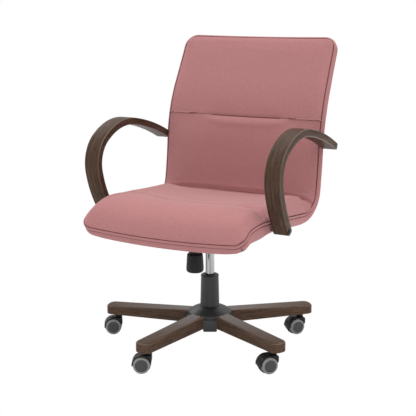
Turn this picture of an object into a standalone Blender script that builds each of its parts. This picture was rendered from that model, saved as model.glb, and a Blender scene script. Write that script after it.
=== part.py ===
"""Conference chair on a five-leg wooden star with castors, upholstered shell and bentwood arms.

Metres, +Z up. The origin is on the floor under the gas column, the sitter faces -Y,
and +X is the sitter's left side.
"""
import math
from math import cos, radians, sin

import bmesh
import bpy
from mathutils import Matrix, Vector

# Clearances
SEAT_GAP = 0.0003          # between two pieces that touch
RUN_GAP = 0.0004           # round a shaft that turns in its hole
HOLLOW_GAP = 0.0006        # between the faceted plywood and the pads round it

# Star base
LEG_COUNT = 5
FIRST_LEG_ANGLE = 118.5    # degrees from +X, the leg behind the column
LEG_TIP_RADIUS = 0.345
LEG_WIDTH = 0.0504
LEG_BOTTOM_Z = 0.0670
LEG_TIP_THICKNESS = 0.0290
LEG_ROOT_THICKNESS = 0.0400
LEG_CORNER_RADIUS = 0.0160
LEG_TOP_ROUNDING = 0.0060
LEG_BOTTOM_ROUNDING = 0.0020

# Hub
HUB_FACE_DISTANCE = 0.0730
HUB_CORE_RADIUS = 0.0460
HUB_BOTTOM_Z = 0.0565
HUB_BOTTOM_ROUNDING = 0.0060
HUB_PLATE_RADIUS = 0.0600
HUB_PLATE_THICKNESS = 0.0060
DOME_RADIUS = 0.0700
DOME_HEIGHT = 0.0212
DOME_WALL = 0.0025

# Gas column
TUBE_RADIUS = 0.0250
TUBE_WALL = 0.0016
TUBE_TOP_Z = 0.1850
TUBE_FLOOR = 0.0030
COVER_BOTTOM_RADIUS = 0.0300
COVER_TOP_RADIUS = 0.0265
COVER_TOP_Z = 0.2219
COVER_WALL = 0.0020
COVER_MOUTH_RADIUS = 0.0168
BUSH_LENGTH = 0.0580
BUSH_FLANGE = 0.0040
PISTON_RADIUS = 0.0140
PISTON_BOTTOM_Z = 0.1050
ROD_RADIUS = 0.0050
ROD_TOP_Z = 0.1700
LIFT_TRAVEL = 0.0400       # up and down from the photographed height

# Castors
CASTOR_PIVOT_RADIUS = 0.3095
CASTOR_HEADING = 297.9     # degrees, axle direction of a castor with no turn
CASTOR_TURNS = (97.0, 6.0, 0.0, 22.0, 24.0)
WHEEL_RADIUS = 0.0250
WHEEL_DISK_RADIUS = 0.0203
WHEEL_WIDTH = 0.0185
CASTOR_TRAIL = 0.0190
AXLE_RADIUS = 0.0040
WEB_THICKNESS = 0.0110
HOOD_WIDTH = 0.0380
HOOD_WALL = 0.0030
HOOD_CLEARANCE = 0.0012
NECK_RADIUS = 0.0105
STEM_RADIUS = 0.0055
STEM_LENGTH = 0.0220

# Side profile of the seam round the upholstery, from the front edge up to the top edge.
# Each stretch is a tangent arc: its length, and how far it turns upwards in degrees.
PROFILE_START_Y = -0.3120
PROFILE_START_Z = 0.4030
PROFILE_START_HEADING = 62.0
WATERFALL_LENGTH = 0.0800
WATERFALL_TURN = -54.0
CREST_LENGTH = 0.1000
CREST_TURN = -14.0
SEAT_FLAT_LENGTH = 0.2735
BEND_RADIUS = 0.0716
BEND_TURN = 86.0
LOWER_BACK_LENGTH = 0.1300
LOWER_BACK_TURN = 6.0
LUMBAR_LENGTH = 0.1900
LUMBAR_TURN = -24.0
UPPER_BACK_LENGTH = 0.1745

# Upholstered shell
SHELL_HALF_WIDTH = 0.2640
BACK_FLARE = 0.0108        # the back is this much wider on each side at its middle
TOP_DRAW_IN = 0.4          # share of the flare that is gone again at the top
TOP_BOW = 0.0030           # the top corners stand this much above the middle
FRONT_LEAN = 28.0          # the boxing leans back by this much where the front edge drops
FRONT_CORNER_RADIUS = 0.0420
TOP_CORNER_RADIUS = 0.0300
FRONT_BOW = 0.0120
SEAT_EDGE_DEPTH = 0.0340
BACK_EDGE_DEPTH = 0.0240
PLY_THICKNESS = 0.0105
UNDER_COVER_THICKNESS = 0.0030
REAR_PAD_THICKNESS = 0.0080
REAR_PAD_CROWN = 0.0060
BOXING_WALL = 0.0050
SEAT_LEVEL_Z = 0.4790      # height of the level seat face over the origin, at its sides
SEAT_LEVEL_SLOPE = -0.0655
SEAT_FRONT_ROLL = 0.1500
SEAT_SIDE_ROLL = 0.0450
SEAT_REAR_HEIGHT = 0.0150
SEAT_REAR_ROLL = 0.0550
SEAT_DISH = 0.0120
SEAT_DISH_REACH = 0.8500    # share of the half width that is dished
BACK_CROWN = 0.0160
BACK_SIDE_ROLL = 0.0300
BACK_SIDE_FALL = 0.0040
JUNCTION_SHARE = 0.71      # how far round the bend the seat's pad meets the back's
BACK_TUCK_DEPTH = 0.0060
BACK_TUCK_FROM_TOP = 0.2780
BACK_TUCK_WIDTH = 0.0140
BACK_TUCK_FADE = 0.0600
BACK_TUCK_HALF_LENGTH = 0.1350
SEAT_CREASE_DEPTH = 0.0040
SEAT_CREASE_FROM_FRONT = 0.1800
SEAT_CREASE_WIDTH = 0.0300
BOXING_PULL_IN = 0.0040
WELT_FRONT_WIDTH = 0.0120
WELT_SIDE_WIDTH = 0.0085
WELT_PROUD = 0.0016
SHEET_ROW_SPACING = 0.0200
SEAT_ROW_SPACING = 0.0270
PAD_COLUMN_CROWDING = 1.5
BACK_ROW_SPACING = 0.0260

# Arms
ARM_GAP = 0.0130           # from the seat's side to the arm's inner face
ARM_WIDTH = 0.0460
ARM_FRONT_THICKNESS = 0.0234
ARM_REAR_THICKNESS = 0.0212
ARM_EDGE_ROUNDING = 0.0035
ARM_FACET_TURN = 6.5       # degrees of bend for each flat
ARM_START_Y = -0.1193
ARM_START_Z = 0.4139
ARM_START_HEADING = 121.6
ARM_POST_LENGTH = 0.0550
ARM_FRONT_RADIUS = 0.3160
ARM_FRONT_TURN = -18.2
ARM_ELBOW_RADIUS = 0.0921
ARM_ELBOW_TURN = -68.7
ARM_TOP_RADIUS = 0.2200
ARM_TOP_TURN = -44.0
ARM_REAR_RADIUS = 0.8200
ARM_REAR_TURN = -14.5
ARM_TAIL_LENGTH = 0.0284
STUD_RADIUS = 0.0030
STUD_COLLAR_RADIUS = 0.0085
STUD_IN_SHELL = 0.0300
STUD_IN_ARM = 0.0200

# Tilt mechanism
HOUSING_HALF_WIDTH = 0.0340
HOUSING_WALL = 0.0030
HOUSING_FRONT_Y = -0.1250
HOUSING_REAR_Y = 0.0500
HOUSING_BOTTOM_Z = 0.3220
HOUSING_FRONT_TOP_Z = 0.3760
HOUSING_REAR_TOP_Z = 0.3600
SOCKET_WALL = 0.0055
SOCKET_TOP_Z = 0.3560
PIN_Y = -0.0350
PIN_Z = 0.3620
PIN_RADIUS = 0.0050
PIN_HEAD_RADIUS = 0.0085
PIN_HEAD_LENGTH = 0.0025
PLATE_THICKNESS = 0.0035
PLATE_HALF_WIDTH = 0.0750
PLATE_FRONT_S = 0.2150
PLATE_REAR_S = 0.4150
PLATE_WINDOW_MARGIN = 0.0040
EAR_THICKNESS = 0.0035
EAR_HALF_LENGTH = 0.0160
SPRING_WIRE_RADIUS = 0.0015
SPRING_TURNS = 6
SPRING_LENGTH = 0.0260
KNOB_Y = -0.0960
KNOB_BOTTOM_Z = 0.2584
KNOB_BOTTOM_RADIUS = 0.0266
KNOB_TOP_RADIUS = 0.0238
KNOB_TOP_Z = 0.3130
KNOB_NECK_RADIUS = 0.0180
KNOB_FLUTES = 16
KNOB_FLUTE_DEPTH = 0.0012
BOLT_RADIUS = 0.0050
BOLT_NUT_RADIUS = 0.0090
BOLT_NUT_HEIGHT = 0.0080
BOLT_IN_KNOB = 0.0300
LEVER_Y = 0.0200
LEVER_Z = 0.3500
LEVER_RADIUS = 0.0040
LEVER_END_X = -0.1950
GRIP_LENGTH = 0.0600
GRIP_RADIUS = 0.0080

# Facets round a full turn
FINE_STEPS = 24
WHEEL_STEPS = 18
SMALL_STEPS = 12

# Values that follow from the ones above
ARM_INNER_X = SHELL_HALF_WIDTH + ARM_GAP
LEG_TIP_TOP_Z = LEG_BOTTOM_Z + LEG_TIP_THICKNESS
LEG_ROOT_TOP_Z = LEG_BOTTOM_Z + LEG_ROOT_THICKNESS
HUB_TOP_Z = LEG_ROOT_TOP_Z
DOME_BOTTOM_Z = HUB_TOP_Z + SEAT_GAP
DOME_TOP_Z = DOME_BOTTOM_Z + DOME_HEIGHT
TUBE_BOTTOM_Z = HUB_BOTTOM_Z + 0.0010
TUBE_INNER_RADIUS = TUBE_RADIUS - TUBE_WALL
COVER_BOTTOM_Z = DOME_TOP_Z + SEAT_GAP
SOCKET_RADIUS = PISTON_RADIUS + SEAT_GAP
PISTON_TOP_Z = SOCKET_TOP_Z - 0.0010
BEND_LENGTH = BEND_RADIUS * radians(BEND_TURN)
CUT_REACH = 2 * HOUSING_HALF_WIDTH
KNOB_BORE_FLOOR_Z = KNOB_TOP_Z - BOLT_IN_KNOB


def clear_scene():
    for item in list(bpy.data.objects):
        bpy.data.objects.remove(item, do_unlink=True)


def new_collection(name):
    collection = bpy.data.collections.new(name)
    bpy.context.scene.collection.children.link(collection)
    return collection


def material(name, colour, roughness, metallic=0.0):
    """A Principled BSDF material with the piece's plain colour and finish."""
    made = bpy.data.materials.new(name)
    made.use_nodes = True
    shader = made.node_tree.nodes["Principled BSDF"]
    shader.inputs["Base Color"].default_value = (*colour, 1.0)
    shader.inputs["Roughness"].default_value = roughness
    shader.inputs["Metallic"].default_value = metallic
    made.diffuse_color = (*colour, 1.0)
    return made


clear_scene()
PARTS = new_collection("office_chair")
CUTTERS = new_collection("cutters")

WOOD = material("walnut_stained_wood", (0.105, 0.062, 0.042), 0.38)
FABRIC = material("rose_fabric", (0.50, 0.215, 0.215), 0.92)
UNDER_FABRIC = material("black_lining", (0.03, 0.03, 0.03), 0.95)
PLY = material("birch_plywood", (0.55, 0.40, 0.25), 0.55)
BLACK_PLASTIC = material("black_plastic", (0.035, 0.036, 0.037), 0.45)
DISK_PLASTIC = material("dark_grey_plastic", (0.07, 0.072, 0.075), 0.50)
TREAD = material("grey_tread", (0.27, 0.26, 0.25), 0.75)
CHROME = material("polished_chrome", (0.78, 0.78, 0.78), 0.15, 1.0)
STEEL = material("zinc_steel", (0.55, 0.55, 0.53), 0.35, 1.0)
BLACK_STEEL = material("black_painted_steel", (0.03, 0.03, 0.03), 0.40, 0.6)


def empty(name, location=(0.0, 0.0, 0.0), turn_z=0.0, parent=None):
    """A bare origin that a moving group hangs on."""
    made = bpy.data.objects.new(name, None)
    PARTS.objects.link(made)
    made.empty_display_size = 0.03
    made.location = location
    made.rotation_euler = (0.0, 0.0, turn_z)
    made.parent = parent
    return made


def add_part(name, mesh, look, parent=None, smooth_angle=35.0):
    made = bpy.data.objects.new(name, mesh)
    PARTS.objects.link(made)
    if not mesh.materials:
        mesh.materials.append(look)
    made.parent = parent
    mesh.shade_smooth()
    mesh.set_sharp_from_angle(angle=radians(smooth_angle))
    return made


def add_cutter(name, mesh):
    made = bpy.data.objects.new(name, mesh)
    CUTTERS.objects.link(made)
    made.hide_render = True
    made.display_type = "WIRE"
    return made


def mesh_of(bm, name):
    """Turn a bmesh into a mesh with its faces pointing out."""
    bmesh.ops.recalc_face_normals(bm, faces=bm.faces)
    made = bpy.data.meshes.new(name)
    bm.to_mesh(made)
    bm.free()
    return made


def baked(source, name):
    """The mesh of an object with its modifiers applied, in world space."""
    bpy.context.view_layer.update()
    graph = bpy.context.evaluated_depsgraph_get()
    made = bpy.data.meshes.new_from_object(source.evaluated_get(graph))
    made.transform(source.matrix_world)
    made.name = name
    return made


def remove(made):
    bpy.data.objects.remove(made, do_unlink=True)


def weld(mesh, distance=0.00001):
    bm = bmesh.new()
    bm.from_mesh(mesh)
    bmesh.ops.remove_doubles(bm, verts=bm.verts, dist=distance)
    bmesh.ops.recalc_face_normals(bm, faces=bm.faces)
    bm.to_mesh(mesh)
    bm.free()
    return mesh


def boolean_mesh(base, tools, operation, name):
    """Cut, join or intersect a mesh with other meshes, all in the same space."""
    body = add_cutter(name + "_body", base)
    helpers = []
    for index, tool in enumerate(tools):
        helper = add_cutter(f"{name}_tool_{index}", tool)
        helpers.append(helper)
        step = body.modifiers.new("Boolean", "BOOLEAN")
        step.operation = operation
        step.solver = "EXACT"
        step.object = helper
    result = baked(body, name)
    for helper in helpers:
        remove(helper)
    remove(body)
    result.materials.clear()
    return result


def cut(base, tools, name):
    return boolean_mesh(base, tools, "DIFFERENCE", name)


def join(base, tools, name):
    return boolean_mesh(base, tools, "UNION", name)


def turned_mesh(name, profile, steps=FINE_STEPS, closed=False):
    """Screw a profile of (radius, height) points, top to bottom down its outer side, about Z."""
    flat = bpy.data.meshes.new(name + "_profile")
    points = [(radius, 0.0, height) for radius, height in profile]
    edges = [(index, index + 1) for index in range(len(points) - 1)]
    if closed:
        edges.append((len(points) - 1, 0))
    flat.from_pydata(points, edges, [])
    holder = add_cutter(name + "_lathe", flat)
    screw = holder.modifiers.new("Screw", "SCREW")
    screw.steps = steps
    screw.render_steps = steps
    screw.use_merge_vertices = True
    screw.merge_threshold = 0.00001
    screw.use_normal_calculate = False
    made = baked(holder, name)
    remove(holder)
    made.materials.clear()
    return weld(made)


def ring_mesh(name, inner, outer, low, high, steps=FINE_STEPS):
    profile = [(outer, high), (outer, low), (inner, low), (inner, high)]
    return turned_mesh(name, profile, steps, closed=True)


def rod_mesh(name, radius, low, high, steps=SMALL_STEPS):
    bm = bmesh.new()
    bmesh.ops.create_cone(bm, cap_ends=True, segments=steps, radius1=radius, radius2=radius,
                          depth=high - low)
    bmesh.ops.translate(bm, verts=bm.verts, vec=(0.0, 0.0, (low + high) / 2))
    return mesh_of(bm, name)


def box_mesh(name, low, high, bevel=0.0, segments=1):
    """A box between two corners, with all its edges eased where bevel is set."""
    bm = bmesh.new()
    size = Vector(high) - Vector(low)
    middle = (Vector(high) + Vector(low)) / 2
    bmesh.ops.create_cube(bm, size=1.0, matrix=Matrix.Translation(middle) @ Matrix.Diagonal((*size, 1.0)))
    if bevel:
        bmesh.ops.bevel(bm, geom=bm.edges[:], offset=bevel, segments=segments, affect="EDGES", profile=0.5)
    return mesh_of(bm, name)


def turn_to_x(mesh):
    """Lay a piece that was turned about Z along X."""
    mesh.transform(Matrix.Rotation(radians(90.0), 4, "Y"))
    return mesh


def plate_mesh(name, outline, half_thickness, edge=0.0, edge_steps=2):
    """A flat closed outline in YZ, thickened along X about x = 0."""
    flat = bpy.data.curves.new(name + "_outline", "CURVE")
    flat.dimensions = "2D"
    flat.fill_mode = "BOTH"
    flat.extrude = half_thickness
    spline = flat.splines.new("POLY")
    spline.points.add(len(outline) - 1)
    for point, (y, z) in zip(spline.points, outline):
        point.co = (y, z, 0.0, 1.0)
    spline.use_cyclic_u = True
    holder = bpy.data.objects.new(name + "_plate", flat)
    CUTTERS.objects.link(holder)
    made = weld(baked(holder, name))
    remove(holder)
    bpy.data.curves.remove(flat)
    # The curve lies in its XY plane: x becomes Y, y becomes Z and its thickness X
    made.transform(Matrix(((0, 0, 1, 0), (1, 0, 0, 0), (0, 1, 0, 0), (0, 0, 0, 1))))
    if edge:
        holder = add_cutter(name + "_eased", made)
        easing = holder.modifiers.new("Bevel", "BEVEL")
        easing.width = edge
        easing.segments = edge_steps
        easing.limit_method = "ANGLE"
        easing.angle_limit = radians(50.0)
        eased = baked(holder, name)
        remove(holder)
        made = eased
    return made


class ArcPath:
    """A path in the YZ plane made of tangent arcs, measured along its length."""

    def __init__(self, y, z, heading, stretches):
        self.knots = []
        self.length = 0.0
        for stretch, turn in stretches:
            self.knots.append((self.length, y, z, heading, stretch, turn))
            y, z, heading = self.step(y, z, heading, stretch, turn, stretch)
            self.length += stretch
        self.end_heading = heading

    @staticmethod
    def step(y, z, heading, stretch, turn, along):
        """Follow one stretch for some of its length."""
        bend = radians(turn) * along / stretch
        start = radians(heading)
        chord = along
        if abs(bend) > 1e-9:
            chord = along * sin(bend / 2) / (bend / 2)
        return (y + chord * cos(start + bend / 2), z + chord * sin(start + bend / 2),
                heading + math.degrees(bend))

    def at(self, along):
        """Point and heading in degrees at a length along the path."""
        knot = self.knots[0]
        for candidate in self.knots:
            if along >= candidate[0]:
                knot = candidate
        start, y, z, heading, stretch, turn = knot
        return self.step(y, z, heading, stretch, turn, along - start)

    def offset(self, along, distance):
        """A point to the left of the path, which is its upper or sitter's side."""
        y, z, heading = self.at(along)
        return (y - distance * sin(radians(heading)), z + distance * cos(radians(heading)))


# Star base


def leg_angle(index):
    return radians(FIRST_LEG_ANGLE + index * 360.0 / LEG_COUNT)


def leg_top_at(radius):
    share = (radius - HUB_CORE_RADIUS) / (LEG_TIP_RADIUS - HUB_CORE_RADIUS)
    return LEG_ROOT_TOP_Z + (LEG_TIP_TOP_Z - LEG_ROOT_TOP_Z) * share


def leg_mesh():
    """A tapering wooden leg with a rounded tip and a socket for the castor's stem."""
    bm = bmesh.new()
    root = HUB_CORE_RADIUS + SEAT_GAP
    length = LEG_TIP_RADIUS - root
    bmesh.ops.create_cube(bm, size=1.0)
    for vert in bm.verts:
        x = root + (vert.co.x + 0.5) * length
        top = leg_top_at(x)
        vert.co = Vector((x, vert.co.y * LEG_WIDTH, top if vert.co.z > 0 else LEG_BOTTOM_Z))
    tip_edges = [edge for edge in bm.edges
                 if all(vert.co.x > LEG_TIP_RADIUS - 1e-5 for vert in edge.verts)
                 and abs(edge.verts[0].co.y - edge.verts[1].co.y) < 1e-5]
    bmesh.ops.bevel(bm, geom=tip_edges, offset=LEG_CORNER_RADIUS, segments=4, affect="EDGES", profile=0.5)
    middle = LEG_BOTTOM_Z + LEG_TIP_THICKNESS / 2

    def rim(upper):
        chosen = []
        for edge in bm.edges:
            faces = edge.link_faces
            if len(faces) != 2 or all(vert.co.x < root + 1e-5 for vert in edge.verts):
                continue
            lids = [face for face in faces if abs(face.normal.z) > 0.9]
            on_side = all((vert.co.z > middle) == upper for vert in edge.verts)
            if len(lids) == 1 and on_side:
                chosen.append(edge)
        return chosen

    bm.normal_update()
    bmesh.ops.bevel(bm, geom=rim(True), offset=LEG_TOP_ROUNDING, segments=3, affect="EDGES", profile=0.5)
    bm.normal_update()
    bmesh.ops.bevel(bm, geom=rim(False), offset=LEG_BOTTOM_ROUNDING, segments=1, affect="EDGES",
                    profile=0.5)
    body = mesh_of(bm, "leg_blank")
    socket_top = LEG_BOTTOM_Z + STEM_LENGTH + SEAT_GAP
    drill = rod_mesh("stem_drill", STEM_RADIUS + RUN_GAP, LEG_BOTTOM_Z - 0.01, socket_top, 16)
    drill.transform(Matrix.Translation((CASTOR_PIVOT_RADIUS, 0.0, 0.0)))
    return cut(body, [drill], "leg")


def hub_mesh():
    """A cast five-sided hub, slotted for the legs, bored for the column and recessed below."""
    corner = HUB_FACE_DISTANCE / cos(radians(180.0 / LEG_COUNT))
    bm = bmesh.new()
    height = HUB_TOP_Z - HUB_BOTTOM_Z
    bmesh.ops.create_cone(bm, cap_ends=True, segments=LEG_COUNT, radius1=corner, radius2=corner,
                          depth=height)
    bmesh.ops.translate(bm, verts=bm.verts, vec=(0.0, 0.0, HUB_BOTTOM_Z + height / 2))
    first = min(bm.verts, key=lambda vert: -vert.co.x)
    lead = math.atan2(first.co.y, first.co.x)
    bmesh.ops.rotate(bm, verts=bm.verts, cent=(0.0, 0.0, 0.0),
                     matrix=Matrix.Rotation(leg_angle(0) - lead, 3, "Z"))
    low_edges = [edge for edge in bm.edges
                 if all(vert.co.z < HUB_BOTTOM_Z + 1e-5 for vert in edge.verts)]
    bmesh.ops.bevel(bm, geom=low_edges, offset=HUB_BOTTOM_ROUNDING, segments=2, affect="EDGES",
                    profile=0.5)
    body = mesh_of(bm, "hub_blank")
    tools = []
    for index in range(LEG_COUNT):
        half = LEG_WIDTH / 2 + SEAT_GAP
        slot = box_mesh("slot", (HUB_CORE_RADIUS, -half, HUB_BOTTOM_Z - 0.02),
                        (HUB_CORE_RADIUS + corner, half, HUB_TOP_Z + 0.02))
        slot.transform(Matrix.Rotation(leg_angle(index), 4, "Z"))
        tools.append(slot)
    tools.append(rod_mesh("column_bore", TUBE_RADIUS + SEAT_GAP, HUB_BOTTOM_Z - 0.02,
                          HUB_TOP_Z + 0.02, FINE_STEPS))
    recess_top = LEG_BOTTOM_Z
    tools.append(rod_mesh("plate_recess", HUB_PLATE_RADIUS + SEAT_GAP, HUB_BOTTOM_Z - 0.02,
                          recess_top, FINE_STEPS))
    return cut(body, tools, "hub")


def hub_plate_mesh():
    """The steel disc under the legs, pierced for the column tube."""
    top = LEG_BOTTOM_Z - SEAT_GAP
    return ring_mesh("hub_plate", TUBE_RADIUS + SEAT_GAP, HUB_PLATE_RADIUS, top - HUB_PLATE_THICKNESS, top)


def dome_mesh():
    """The moulded cover over the hub, a shallow dome with a rounded shoulder."""
    hole = TUBE_RADIUS + 2 * SEAT_GAP
    flat_radius = COVER_BOTTOM_RADIUS + 0.0035
    shoulder = 5
    outer = [(flat_radius, DOME_TOP_Z)]
    inner = []
    for index in range(1, shoulder + 1):
        turn = radians(90.0 * index / shoulder)
        outer.append((flat_radius + (DOME_RADIUS - flat_radius) * sin(turn),
                      DOME_BOTTOM_Z + DOME_HEIGHT * cos(turn)))
    for radius, height in reversed(outer):
        inner.append((radius - DOME_WALL, max(height - DOME_WALL, DOME_BOTTOM_Z)))
    profile = [(hole, DOME_TOP_Z)] + outer + inner + [(hole, DOME_TOP_Z - DOME_WALL)]
    return turned_mesh("hub_cover", profile, FINE_STEPS, closed=True)


def tube_mesh():
    """The outer tube of the gas lift, with a floor that holds the rod."""
    floor_top = TUBE_BOTTOM_Z + TUBE_FLOOR
    profile = [(TUBE_RADIUS, TUBE_TOP_Z), (TUBE_RADIUS, TUBE_BOTTOM_Z), (0.0, TUBE_BOTTOM_Z),
               (0.0, floor_top), (TUBE_INNER_RADIUS, floor_top), (TUBE_INNER_RADIUS, TUBE_TOP_Z)]
    return turned_mesh("column_tube", profile, FINE_STEPS, closed=True)


def bush_mesh():
    """The plastic guide in the tube's mouth, with a flange on its rim."""
    bore = PISTON_RADIUS + SEAT_GAP
    outer = TUBE_INNER_RADIUS - SEAT_GAP
    rim = TUBE_TOP_Z + SEAT_GAP
    profile = [(TUBE_RADIUS - 0.0005, rim + BUSH_FLANGE), (TUBE_RADIUS - 0.0005, rim), (outer, rim),
               (outer, TUBE_TOP_Z - BUSH_LENGTH), (bore, TUBE_TOP_Z - BUSH_LENGTH),
               (bore, rim + BUSH_FLANGE)]
    return turned_mesh("guide_bush", profile, FINE_STEPS, closed=True)


def column_cover_mesh():
    """The tapered sleeve over the column, with a rounded lip round its mouth."""
    lip = 0.0030
    inner_top = COVER_TOP_Z - 0.0060
    profile = [(COVER_MOUTH_RADIUS + 0.0008, COVER_TOP_Z), (COVER_TOP_RADIUS - lip, COVER_TOP_Z),
               (COVER_TOP_RADIUS - lip * 0.3, COVER_TOP_Z - lip * 0.3), (COVER_TOP_RADIUS, COVER_TOP_Z - lip),
               (COVER_BOTTOM_RADIUS, COVER_BOTTOM_Z), (COVER_BOTTOM_RADIUS - COVER_WALL, COVER_BOTTOM_Z),
               (COVER_TOP_RADIUS - COVER_WALL, inner_top), (COVER_MOUTH_RADIUS, inner_top),
               (COVER_MOUTH_RADIUS, COVER_TOP_Z - 0.0008)]
    return turned_mesh("column_cover", profile, FINE_STEPS, closed=True)


def piston_mesh():
    """The chromed cylinder of the gas lift: bored for its rod, coned at the top."""
    bore = ROD_RADIUS + 2 * RUN_GAP
    bore_top = ROD_TOP_Z + LIFT_TRAVEL + 0.0100
    profile = [(0.0, PISTON_TOP_Z), (PISTON_RADIUS - 0.0015, PISTON_TOP_Z),
               (PISTON_RADIUS, PISTON_TOP_Z - 0.0300), (PISTON_RADIUS, PISTON_BOTTOM_Z + 0.0010),
               (PISTON_RADIUS - 0.0010, PISTON_BOTTOM_Z), (bore, PISTON_BOTTOM_Z), (bore, bore_top),
               (0.0, bore_top)]
    return turned_mesh("piston", profile, FINE_STEPS)


def rod_in_tube_mesh():
    """The thin rod that stands on the tube's floor inside the piston."""
    base = TUBE_BOTTOM_Z + TUBE_FLOOR + SEAT_GAP
    foot = ROD_RADIUS * 1.8
    profile = [(0.0, ROD_TOP_Z), (ROD_RADIUS, ROD_TOP_Z), (ROD_RADIUS, base + 0.0030), (foot, base + 0.0030),
               (foot, base), (0.0, base)]
    return turned_mesh("lift_rod", profile, SMALL_STEPS)


def build_base():
    root = empty("star_base")
    shared_leg = leg_mesh()
    for index in range(LEG_COUNT):
        leg = add_part(f"leg_{index + 1}", shared_leg, WOOD, root)
        leg.rotation_euler = (0.0, 0.0, leg_angle(index))
    add_part("hub", hub_mesh(), BLACK_PLASTIC, root)
    add_part("hub_plate", hub_plate_mesh(), STEEL, root)
    add_part("hub_cover", dome_mesh(), BLACK_PLASTIC, root)
    add_part("column_tube", tube_mesh(), BLACK_STEEL, root)
    add_part("guide_bush", bush_mesh(), BLACK_PLASTIC, root)
    add_part("lift_rod", rod_in_tube_mesh(), STEEL, root)
    add_part("column_cover", column_cover_mesh(), BLACK_PLASTIC, root)
    return root


# Castors


def castor_body_mesh():
    """Hood, web, neck, stem and axle of a twin-wheel castor, with the pivot on Z and the axle on X."""
    wheel_y = -CASTOR_TRAIL
    inner = WHEEL_RADIUS + HOOD_CLEARANCE
    outer = inner + HOOD_WALL
    crown_z = WHEEL_RADIUS + outer
    front_y = NECK_RADIUS

    def arc(radius, start, stop, count):
        points = []
        for index in range(count + 1):
            turn = radians(start + (stop - start) * index / count)
            points.append((wheel_y + radius * cos(turn), WHEEL_RADIUS + radius * sin(turn)))
        return points

    # Outside: up over the wheels from their far side, along to the neck and down its front
    outside = arc(outer, 186.0, 90.0, 6)
    outside += [(front_y, crown_z), (front_y, WHEEL_RADIUS + 0.0090)]
    inside = arc(inner, 0.0, 186.0, 9)
    hood = plate_mesh("hood_shell", outside + inside, HOOD_WIDTH / 2)
    web = plate_mesh("hood_web", arc(inner + HOOD_WALL / 2, 0.0, 330.0, 11), WEB_THICKNESS / 2)
    leg_floor = LEG_BOTTOM_Z - SEAT_GAP
    neck = rod_mesh("neck", NECK_RADIUS, crown_z - HOOD_WALL / 2, leg_floor, 16)
    stem = rod_mesh("stem", STEM_RADIUS, leg_floor - 0.0030, LEG_BOTTOM_Z + STEM_LENGTH, 16)
    axle_half = WEB_THICKNESS / 2 + RUN_GAP + WHEEL_WIDTH - 0.0040
    axle = turn_to_x(rod_mesh("axle", AXLE_RADIUS, -axle_half, axle_half, SMALL_STEPS))
    axle.transform(Matrix.Translation((0.0, wheel_y, WHEEL_RADIUS)))
    return join(hood, [web, neck, stem, axle], "castor_body")


def wheel_disk_mesh():
    """A wheel centre along Z: blind bore on its inner face, dished outer face."""
    bore = AXLE_RADIUS + RUN_GAP
    depth = WHEEL_WIDTH - 0.0035
    profile = [(0.0, WHEEL_WIDTH - 0.0012), (WHEEL_DISK_RADIUS - 0.0035, WHEEL_WIDTH - 0.0012),
               (WHEEL_DISK_RADIUS - 0.0025, WHEEL_WIDTH), (WHEEL_DISK_RADIUS, WHEEL_WIDTH - 0.0010),
               (WHEEL_DISK_RADIUS, 0.0), (bore, 0.0), (bore, depth), (0.0, depth)]
    return turned_mesh("wheel_disk", profile, WHEEL_STEPS)


def tyre_mesh():
    """A soft tread ring with rounded shoulders."""
    inner = WHEEL_DISK_RADIUS + SEAT_GAP
    profile = [(inner, WHEEL_WIDTH - 0.0010), (WHEEL_RADIUS - 0.0020, WHEEL_WIDTH - 0.0005),
               (WHEEL_RADIUS, WHEEL_WIDTH - 0.0045), (WHEEL_RADIUS, 0.0015),
               (WHEEL_RADIUS - 0.0010, 0.0003), (inner, 0.0003)]
    return turned_mesh("tyre", profile, WHEEL_STEPS, closed=True)


def build_castors(root):
    body = castor_body_mesh()
    disk = turn_to_x(wheel_disk_mesh())
    tyre = turn_to_x(tyre_mesh())
    inner_face = WEB_THICKNESS / 2 + RUN_GAP
    for index in range(LEG_COUNT):
        number = index + 1
        angle = leg_angle(index)
        pivot = (CASTOR_PIVOT_RADIUS * cos(angle), CASTOR_PIVOT_RADIUS * sin(angle), 0.0)
        heading = radians(CASTOR_HEADING + CASTOR_TURNS[index])
        swivel = empty(f"castor_{number}_swivel", pivot, heading, root)
        add_part(f"castor_{number}_hood", body, BLACK_PLASTIC, swivel)
        for side, turn in (("a", 0.0), ("b", 180.0)):
            spin = empty(f"castor_{number}_spin_{side}", (0.0, -CASTOR_TRAIL, WHEEL_RADIUS),
                         radians(turn), swivel)
            wheel = add_part(f"castor_{number}_wheel_{side}", disk, DISK_PLASTIC, spin)
            wheel.location = (inner_face, 0.0, 0.0)
            tread = add_part(f"castor_{number}_tyre_{side}", tyre, TREAD, spin)
            tread.location = (inner_face, 0.0, 0.0)


# Upholstered shell

PROFILE = ArcPath(PROFILE_START_Y, PROFILE_START_Z, PROFILE_START_HEADING, (
    (WATERFALL_LENGTH, WATERFALL_TURN),
    (CREST_LENGTH, CREST_TURN),
    (SEAT_FLAT_LENGTH, 0.0),
    (BEND_LENGTH, BEND_TURN),
    (LOWER_BACK_LENGTH, LOWER_BACK_TURN),
    (LUMBAR_LENGTH, LUMBAR_TURN),
    (UPPER_BACK_LENGTH, 0.0),
))
BEND_START_S = WATERFALL_LENGTH + CREST_LENGTH + SEAT_FLAT_LENGTH
BEND_END_S = BEND_START_S + BEND_LENGTH
JUNCTION_S = BEND_START_S + BEND_LENGTH * JUNCTION_SHARE


def smooth_step(value):
    value = min(max(value, 0.0), 1.0)
    return value * value * (3.0 - 2.0 * value)


def back_share(s):
    """0 on the seat, 1 on the back, easing over the bend."""
    return smooth_step((s - BEND_START_S) / BEND_LENGTH)


def edge_depth(s):
    return SEAT_EDGE_DEPTH + (BACK_EDGE_DEPTH - SEAT_EDGE_DEPTH) * back_share(s)


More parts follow.
